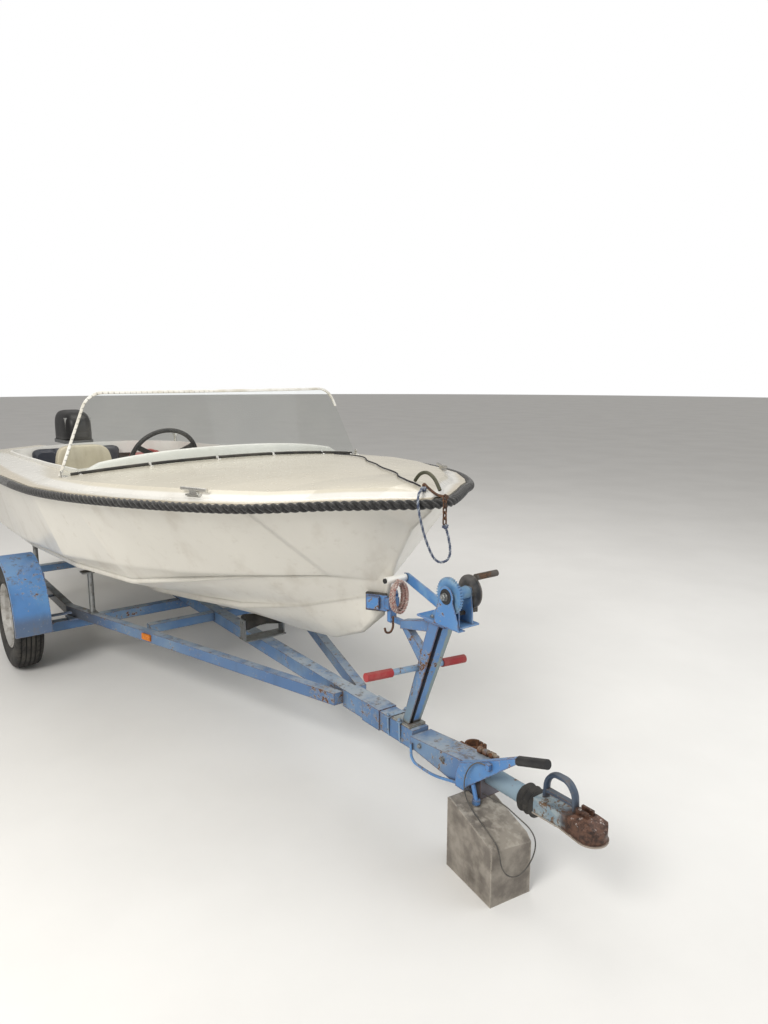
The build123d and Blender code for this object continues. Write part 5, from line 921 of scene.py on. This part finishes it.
# Windscreen channel, lip and clips. The pane's sizes at its foot and at its top, as in the model
SCREEN_MID_X = (0.943, 0.842)
SCREEN_END_X = (0.797, 0.764)
SCREEN_HALF = (0.809, 0.633)
SCREEN_Z = (1.040, 1.464)
SCREEN_CORNER_R = 0.110


def screen_place(y, z):
    """Middle surface of the windscreen: at each height an arc through its middle and its two ends."""
    share = (z - SCREEN_Z[0]) / (SCREEN_Z[1] - SCREEN_Z[0])
    m, e, h = (low + (top - low) * share for low, top in (SCREEN_MID_X, SCREEN_END_X, SCREEN_HALF))
    radius = (h**2 + (m - e) ** 2) / (2 * (m - e))
    return np.stack([m - radius + np.sqrt(radius**2 - y**2) - AXLE_AFT, y, z], axis=-1)


def screen_edge(inset, foot_z, port_z):
    """The pane's edge from the front: up the starboard end, round a corner arc, over the top, down the port end."""
    corner = np.array([inset - SCREEN_HALF[1], SCREEN_Z[1] - inset])
    down = np.array([SCREEN_HALF[1] - SCREEN_HALF[0], SCREEN_Z[0] - SCREEN_Z[1]])
    down /= np.linalg.norm(down)
    along_top = np.array([1.0, 0.0])
    angle = math.acos(float(down @ along_top))
    radius = SCREEN_CORNER_R - inset
    middle = corner + (down + along_top) / np.linalg.norm(down + along_top) * radius / math.sin(angle / 2)
    first = corner + down * radius / math.tan(angle / 2) - middle
    last = corner + along_top * radius / math.tan(angle / 2) - middle
    swing = math.pi - angle
    share = np.linspace(0, 1, 20)[:, None]
    arc = middle + (np.sin((1 - share) * swing) * first + np.sin(share * swing) * last) / math.sin(swing)
    foot = corner + down * (corner[1] - foot_z) / -down[1]
    starboard = np.vstack([foot + (arc[0] - foot) * np.linspace(0, 1, 40)[:-1, None], arc])
    port = starboard[::-1] * (-1, 1)
    port = port[port[:, 1] > port_z]
    over = np.linspace(starboard[-1], port[0], 80)[1:-1]
    return np.vstack([starboard, over, port])


def screen_channel():
    """White channel pressed over the pane's edge; it is missing on the port end, where the edge is bare."""
    edge = screen_edge(0.0062, deck_height(0.80, -0.772) + 0.002, 1.36)
    line, t, s = along(screen_place(edge[:, 0], edge[:, 1]), 0.003)
    y, z, e = line[:, 1], line[:, 2], 1e-4
    n = np.cross(screen_place(y + e, z) - screen_place(y - e, z),
                 screen_place(y, z + e) - screen_place(y, z - e))
    n /= np.linalg.norm(n, axis=1)[:, None]
    outward = np.cross(n, t)
    section = rounded_section(0.0125, 0.0095, 0.0022)
    verts, faces, caps = swept(line, outward, n, section)
    piece = mesh_piece("screen_channel", verts, faces, trim(), ROOT, "white_trim", caps=caps)
    lip = np.array([p[0] < -0.0008 for p in section])
    tick = ((s % 0.024) < 0.0045)[:, None] & lip[None, :] & (y < -0.05)[:, None]
    stored(piece, "tick", tick)
    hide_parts("windscreen_trim")


def arc_place(y, front, side, half):
    """X of an arc across the boat through its middle and its two ends."""
    radius = (half**2 + (front - side) ** 2) / (2 * (front - side))
    return front - radius + np.sqrt(radius**2 - y**2)


def cockpit_lip():
    """White moulded lip between the windscreen and the cockpit: a bowed ridge, tallest amidships."""
    y = np.linspace(-0.665, 0.665, 110)
    x = arc_place(y, 0.868, 0.770, 0.69)
    across = np.linspace(-1, 1, 13)
    xx = x[:, None] + 0.021 * across[None, :]
    foot = np.array([[deck_height(float(a), float(b)) for a in row] for row, b in zip(xx, y)]) - 0.0006
    crest = 1.199 - 0.10 * y**2 - 0.10 * y**4
    ends = np.clip((0.665 - np.abs(y)) / 0.06, 0, 1) ** 0.5
    bulge = (1 - np.abs(across) ** 3.5)[None, :] ** 0.45
    top = foot + np.maximum(crest[:, None] - foot, 0.002) * bulge * ends[:, None]
    upper = np.stack([xx - AXLE_AFT, np.broadcast_to(y[:, None], xx.shape), np.maximum(top, foot + 0.0005)],
                     axis=-1)
    lower = np.stack([xx - AXLE_AFT, np.broadcast_to(y[:, None], xx.shape), foot], axis=-1)[:, ::-1]
    ring = np.concatenate([upper, lower], axis=1)
    rows, columns = ring.shape[:2]
    mesh_piece("cockpit_lip", ring.reshape(-1, 3), grid_faces(rows, columns), WHITE, ROOT, "white_trim",
               caps=end_caps(rows, columns))


def seal_clips():
    """Small pressed clips that hold the seal down: a foot, a bridge over the seal and a round screw head."""
    parts = []
    for y in (-0.70, -0.41, -0.10, 0.20, 0.51, 0.72):
        x = float(screen_place(np.array(y), np.array(1.15))[0]) + AXLE_AFT + 0.0125
        z = deck_height(x, y)
        parts.append(superform(at(x, y, z + 0.006), (0.011, 0.007, 0.0092), 0.35, 0.35, rows=10, columns=24))
        zf = deck_height(x + 0.02, y)
        parts.append(superform(at(x + 0.020, y, zf + 0.001), (0.013, 0.008, 0.0022), 0.3, 0.3,
                               rows=8, columns=24))
        head = [(0.0042, -0.001), (0.0042, 0.0006), (0.0034, 0.0016), (0.0014, 0.0021)]
        parts.append(turned(at(x + 0.023, y, zf + 0.003), (0, 0, 1), head, columns=16))
    for side in (-1, 1):
        z = deck_height(0.815, side * 0.765)
        parts.append(superform(at(0.822, side * 0.765, z + 0.0015), (0.026, 0.013, 0.0024), 0.25, 0.3,
                               rows=8, columns=28))
        parts.append(superform(at(0.812, side * 0.772, z + 0.013), (0.010, 0.0035, 0.013), 0.3, 0.3,
                               rows=10, columns=24))
        head = [(0.0036, -0.001), (0.0036, 0.0005), (0.0026, 0.0014), (0.001, 0.0018)]
        for x in (0.832, 0.842):
            parts.append(turned(at(x, side * 0.765, z + 0.0035), (0, 0, 1), head, columns=16))
    verts, faces, caps = merged(parts)
    mesh_piece("seal_clips", verts, faces, STAINLESS, ROOT, "stainless", caps=caps)


screen_channel()
cockpit_lip()
seal_clips()


# Seat, motor cover and cushions
def seat_shell():
    """Moulded bucket seat: a wrapped back that leans aft, a dished pan and a box foot with soft corners."""
    back, f0, c0 = superform((0, 0, 0), (0.040, 0.165, 0.168), 0.36, 0.36, rows=30, columns=60)
    u = back[:, 1] / 0.165
    back[:, 1] *= 1 - 0.10 * np.clip(back[:, 2] / 0.168, 0, 1)
    back[:, 0] += 0.050 * u**2 - 0.10 * back[:, 2] - 0.440
    back += at(0.0, -0.355, 0.948)
    pan, f1, c1 = superform((0, 0, 0), (0.185, 0.212, 0.034), 0.40, 0.36, rows=24, columns=60)
    dish = 0.022 * (np.abs(pan[:, 1]) / 0.212) ** 3 + 0.014 * (pan[:, 0] / 0.185) ** 2
    pan[:, 2] += np.where(pan[:, 2] > 0, dish, 0)
    pan += at(-0.290, -0.330, 0.826)
    foot = superform(at(-0.275, -0.330, 0.680), (0.140, 0.148, 0.1215), 0.16, 0.16, rows=20, columns=48)
    verts, faces, caps = merged([(back, f0, c0), (pan, f1, c1), foot])
    piece = mesh_piece("helm_seat_shell", verts, faces, SEAT, ROOT, "seat_cream", caps=caps)
    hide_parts("helm_seat")


def cowl_shell():
    """Motor cover: a squarish oval in plan, wider aft, drawn in towards a crown that falls forward."""
    rows, columns = 34, 72
    rise = np.linspace(0.0, math.pi / 2 - 0.02, rows)[:, None]
    turn = np.linspace(0, 2 * math.pi, columns, endpoint=False)[None, :]
    plan_x, plan_y = signed_power(np.cos(turn), 0.55), signed_power(np.sin(turn), 0.55)
    ring = np.cos(rise) ** 0.42 * (1 - 0.045 * np.cos(rise * 2) ** 2)
    height = 0.234 * np.sin(rise) ** 0.62
    x = 0.184 * plan_x * ring
    y = (0.119 - 0.014 * plan_x) * plan_y * ring
    z = 1.0242 + height * (1 - 0.14 * (plan_x * ring + 1) / 2)
    verts = np.stack([x - 1.966 - AXLE_AFT, y, np.broadcast_to(z, x.shape)], axis=-1).reshape(-1, 3)
    piece = mesh_piece("motor_cover", verts, grid_faces(rows, columns), cowl(), "motor_steer", "motor_black",
                       caps=end_caps(rows, columns))
    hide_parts("outboard_cowl")


seat_shell()
cowl_shell()


def vinyl():
    """Dark blue-black seat vinyl: fine pebbled grain, soft creases, dust on top and rubbed seams."""
    f = Finish("cushion_vinyl")
    colour = f.mix(f.clouds(0.35, 0.7, 9, 5), (0.016, 0.020, 0.034), (0.030, 0.034, 0.048))
    dust = f.calc("MULTIPLY", f.upward(), f.clouds(0.35, 0.7, 22, 6))
    colour = f.wash(colour, dust, 0.45, (0.13, 0.12, 0.10))
    colour = f.wash(colour, f.edges(0.006), 0.4, (0.14, 0.14, 0.15))
    grain = f.cells(900)
    crease = f.noise(34, 5, 0.6, distortion=1.2)
    normal = f.bump(grain, 0.0003, f.bump(crease, 0.0012))
    return f.done(colour, f.level(f.noise(60, 4), 0.42, 0.62), normal, Sheen_Weight=0.15)


VINYL = vinyl()


def evaluated_mesh(piece):
    """The piece's mesh with its modifiers worked in."""
    return bpy.data.meshes.new_from_object(piece.evaluated_get(bpy.context.evaluated_depsgraph_get()))


def bake(piece):
    """Turns the piece's modifiers into its mesh."""
    mesh = evaluated_mesh(piece)
    piece.modifiers.clear()
    piece.data = mesh


CLOTH_FRAMES = 20


def puffed(piece, cap):
    """Swells the piece as cloth under pressure, and lets no point go further than the cap."""
    cloth = piece.modifiers.new("cloth", "CLOTH")
    cloth.settings.use_pressure = True
    cloth.settings.uniform_pressure_force = 4
    cloth.settings.effector_weights.gravity = 0
    cloth.point_cache.frame_start = 1
    cloth.point_cache.frame_end = CLOTH_FRAMES
    for number in range(1, CLOTH_FRAMES + 1):
        bpy.context.scene.frame_set(number)
    after = coordinates(evaluated_mesh(piece))
    piece.modifiers.clear()
    bpy.context.scene.frame_set(1)
    before = coordinates(piece.data)
    move = after - before
    far = np.linalg.norm(move, axis=1)[:, None]
    piece.data.vertices.foreach_set("co", (before + move * np.minimum(1, cap / np.maximum(far, 1e-9))).ravel())
    piece.data.update()


PLAN_POWER = 0.24
PIPING_R = 0.0034
CHANNEL_HALF = 0.0055
CHANNEL_DEPTH = 0.0065


def cushion(name, centre, half, thin, lines, low, high):
    """A stuffed cushion with sewn channels across it and piping round both its edges; thin is its short axis.
    A channel is a valley whose depth falls off as a bell curve from its line."""
    verts, faces, caps = superform((0, 0, 0), half, 0.34, PLAN_POWER, rows=30, columns=80)
    if thin == 0:
        verts = verts[:, [2, 1, 0]]
    piece = mesh_piece(name, verts + np.asarray(centre), faces, VINYL, ROOT, "vinyl_blue", caps=caps)
    remesh = piece.modifiers.new("remesh", "REMESH")
    remesh.mode = "VOXEL"
    remesh.voxel_size = 0.006
    bake(piece)
    puffed(piece, 0.014)
    finer = piece.modifiers.new("finer", "SUBSURF")
    finer.levels = finer.render_levels = 1
    bake(piece)
    mesh = piece.data
    co = coordinates(mesh)
    normal = np.zeros(len(mesh.vertices) * 3)
    mesh.vertices.foreach_get("normal", normal)
    normal = normal.reshape(-1, 3)
    valley = sum(np.exp(-(((co[:, 1] - line) / CHANNEL_HALF) ** 2)) for line in lines)
    co -= normal * (CHANNEL_DEPTH * np.minimum(valley, 1))[:, None]
    co = np.clip(co, np.asarray(low), np.asarray(high))
    mesh.vertices.foreach_set("co", co.ravel())
    mesh.polygons.foreach_set("use_smooth", [True] * len(mesh.polygons))
    mesh.update()
    tree = BVHTree.FromPolygons([Vector(v) for v in co], [tuple(p.vertices) for p in mesh.polygons])
    turn = np.linspace(0, 2 * math.pi, 160)
    parts = []
    for level in (-0.62, 0.62):
        ring = np.stack([signed_power(np.cos(turn), PLAN_POWER) * half[0],
                         signed_power(np.sin(turn), PLAN_POWER) * half[1],
                         np.full(160, level * half[2])], axis=1)
        if thin == 0:
            ring = ring[:, [2, 1, 0]]
        ring = np.array([tree.find_nearest(Vector(p))[0] for p in ring + np.asarray(centre)])
        ring, t, _ = along(ring, 0.006)
        n, b = side_axes(t)
        parts.append(swept(ring, n, b, circle_section(PIPING_R, 8)))
    verts, faces, caps = merged(parts)
    verts = np.clip(verts, np.asarray(low), np.asarray(high))
    piping = mesh_piece(name + "_piping", verts, faces, VINYL, ROOT, "vinyl_blue", caps=caps)
    piping.parent = piece
    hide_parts("bench_cushions")


cushion("bench_seat_pad", at(-1.1139, -0.160, 0.8052), (0.1545, 0.301, 0.0265), 2, (-0.315, -0.160, -0.005),
        at(-1.2775, -0.478, 0.7705), at(-0.942, 0.158, 0.850))
cushion("bench_back_pad", at(-1.3127, -0.160, 0.9053), (0.1255, 0.301, 0.0265), 0, (-0.315, -0.160, -0.005),
        at(-1.3476, -0.478, 0.7705), at(-1.2782, 0.158, 1.048))


# Winch, post and fixings
def prism(points, axis_low, axis_high):
    """A flat outline in x and z, given a thickness in y."""
    count = len(points)
    verts = np.array([at(x, y, z) for y in (axis_low, axis_high) for x, z in points])
    return verts, grid_faces(2, count), (np.arange(count)[::-1], count + np.arange(count))


def bevelled(piece, width):
    """Rounds the piece's edges."""
    bevel = piece.modifiers.new("bevel", "BEVEL")
    bevel.width = width
    bevel.segments = 2
    bevel.limit_method = "ANGLE"


DRUM_X, DRUM_Z = 2.543, 0.857


def winch_side():
    """Blue side plate outside the gear: a foot on the base, and a tall ear up to the drum's shaft."""
    turn = np.linspace(-0.35, math.pi + 0.35, 22)
    ear = [(2.486, 0.7585), (2.606, 0.7585), (2.600, 0.785)]
    ear += [(DRUM_X + 0.034 * math.cos(a), DRUM_Z + 0.034 * math.sin(a)) for a in turn]
    ear += [(2.490, 0.790)]
    foot = prism([(2.484, 0.7556), (2.608, 0.7556), (2.608, 0.7590), (2.484, 0.7590)], -0.0650, -0.038)
    verts, faces, caps = merged([prism(ear, -0.0650, -0.0622), foot])
    plate = mesh_piece("winch_side_plate", verts, faces, GEAR_BLUE, ROOT, "gear_blue", smooth=False, caps=caps)
    bevelled(plate, 0.0008)
    ring = turned(at(DRUM_X, -0.0652, DRUM_Z), (0, -1, 0),
                  [(0.025, 0), (0.025, 0.0018), (0.0235, 0.0026), (0.012, 0.0026)], 40)
    mesh_piece("winch_shaft_washer", *ring[:2], GRIP_BLACK, ROOT, "gear_blue", caps=ring[2])
    hub = merged([bolt(at(DRUM_X, -0.0684, DRUM_Z), (0, -1, 0), 0.0125),
                  turned(at(DRUM_X, -0.0530, DRUM_Z), (0, -1, 0), [(0.0075, 0), (0.0075, 0.016)], 24)])
    mesh_piece("winch_shaft_nut", *hub[:2], ZINC, "winch_drum", "gear_blue", smooth=False, caps=hub[2])


def post_front():
    """Flat strip that closes the port channel's front and widens upwards, bright blue with painted shade in
    grey-green along its port edge.
    """
    z = np.linspace(0.324, 0.7435, 30)
    share = (z - 0.3193) / 0.4257
    front = 2.309 + 0.172 * share
    low, high = -(0.009 + 0.006 * share), 0.026 + 0.011 * share
    section = np.array(rounded_section(1.0, 1.0, 0.06, 3)) + 0.5
    y = low[:, None] + (high - low)[:, None] * section[None, :, 0]
    x = front[:, None] - 0.0022 + 0.0030 * section[None, :, 1]
    verts = np.stack([x - AXLE_AFT, y, np.broadcast_to(z[:, None], y.shape)], axis=-1)
    rows, columns = y.shape
    # The first zone is painted shade, grey-green towards the port edge; the second tints the foot tan
    strip = enamel("post_strip", (0.10, 0.25, 0.52), (0.17, 0.33, 0.56), chips=0.8, dust=0.2,
                   zones=[(1, 0.0125, 0.0170, (0.24, 0.30, 0.28), 0.9),
                          (2, 0.345, 0.318, (0.44, 0.37, 0.25), 0.8)])
    mesh_piece("post_front_strip", verts.reshape(-1, 3), grid_faces(rows, columns), strip, ROOT, "frame_blue",
               caps=end_caps(rows, columns))


def strap_bolts():
    """Round straps under the front sleeve, each with two legs, a small bridge and nuts on top."""
    parts = []
    for x, top in ((2.207, 0.3195), (2.275, 0.3245)):
        corner = [(-0.0405, top + 0.012), (-0.0405, 0.252), (-0.030, 0.2385),
                  (0.030, 0.2385), (0.0405, 0.252), (0.0405, top + 0.012)]
        line, t, _ = along(line_points([at(x, y, z) for y, z in corner]), 0.004)
        n, b = side_axes(t)
        parts.append(swept(line, n, b, circle_section(0.004, 12)))
        for y in (-0.0405, 0.0405):
            parts.append(bolt(at(x, y, top + 0.001), (0, 0, 1), 0.0078))
        parts.append(superform(at(x, 0, top - 0.0015), (0.010, 0.048, 0.0028), 0.2, 0.2, rows=8, columns=32))
    verts, faces, caps = merged(parts)
    mesh_piece("sleeve_straps", verts, faces, PALE_BLUE, ROOT, "frame_blue", caps=caps)


winch_side()
post_front()
strap_bolts()
bolts("housing_bolts", [(at(x, side * 0.0462, z), (0, side, 0), 0.0085)
                        for side in (-1, 1) for x, z in ((2.399, 0.285), (2.521, 0.289))], ROOT, ZINC, "zinc")
bolts("winch_base_bolts", [(at(2.440, y, 0.7555), (0, 0, 1), 0.0075) for y in (-0.030, 0.022)],
      ROOT, ZINC, "gear_blue")
for side, wheel in ((-1, "wheel_starboard"), (1, "wheel_port")):
    quarters = [math.pi / 4 + k * math.pi / 2 for k in range(4)]
    places = [at(STUD_R * math.cos(a), side * 0.8615, WHEEL_CENTRE_Z + STUD_R * math.sin(a)) for a in quarters]
    bolts(wheel + "_nuts", [(place, (0, side, 0), 0.0118) for place in places], wheel, ZINC, "rim_silver")


# Floor and light
FLOOR_R = 45


def make_stage():
    """A pale flat floor, one wide disc round the boat."""
    rim = [(x, y, 0) for x, y in circle_section(FLOOR_R, 96)]
    mesh = bpy.data.meshes.new("floor")
    mesh.from_pydata(rim, [], [tuple(range(len(rim)))])
    mesh.polygons.foreach_set("use_smooth", [True])
    floor = linked("floor", mesh)
    f = Finish("floor")
    colour = f.mix(f.clouds(0.3, 0.7, 1.3, 5), (0.78, 0.775, 0.76), (0.82, 0.815, 0.80))
    mesh.materials.append(f.done(colour, 0.9, f.bump(f.noise(300, 3), 0.0002)))


def make_light(name, place, aim, size, power, colour):
    """A square soft light that looks at a point."""
    data = bpy.data.lights.new(name, "AREA")
    data.size = size
    data.energy = power
    data.color = colour
    light = linked(name, data)
    light.location = place
    light.rotation_euler = (Vector(aim) - Vector(place)).to_track_quat("-Z", "Y").to_euler()


def make_world():
    """Soft white surroundings, pale where the camera looks, also through the pane."""
    world = bpy.data.worlds.new("world")
    world.use_nodes = True
    tree = world.node_tree
    tree.nodes.clear()
    path = tree.nodes.new("ShaderNodeLightPath")
    seen = tree.nodes.new("ShaderNodeMath")
    seen.operation = "MAXIMUM"
    tree.links.new(path.outputs["Is Camera Ray"], seen.inputs[0])
    tree.links.new(path.outputs["Is Transmission Ray"], seen.inputs[1])
    soft = tree.nodes.new("ShaderNodeBackground")
    soft.inputs["Color"].default_value = (1, 0.98, 0.95, 1)
    soft.inputs["Strength"].default_value = 0.45
    pale = tree.nodes.new("ShaderNodeBackground")
    pale.inputs["Color"].default_value = (1, 1, 1, 1)
    pale.inputs["Strength"].default_value = 1.0
    both = tree.nodes.new("ShaderNodeMixShader")
    out = tree.nodes.new("ShaderNodeOutputWorld")
    tree.links.new(seen.outputs[0], both.inputs[0])
    tree.links.new(soft.outputs[0], both.inputs[1])
    tree.links.new(pale.outputs[0], both.inputs[2])
    tree.links.new(both.outputs[0], out.inputs["Surface"])
    bpy.context.scene.world = world


make_stage()
make_light("key", (3.5, -4.5, 4.6), (0.4, 0, 0.7), 2.6, 260, (1.0, 0.975, 0.93))
make_light("fill", (4.5, 3.0, 3.0), (0.6, 0, 0.6), 3.0, 70, (0.92, 0.96, 1.0))
make_light("top", (-1.0, 0.5, 5.0), (0, 0, 0.6), 4.0, 120, (1.0, 0.97, 0.92))
make_world()
bpy.context.scene.view_settings.view_transform = "Standard"
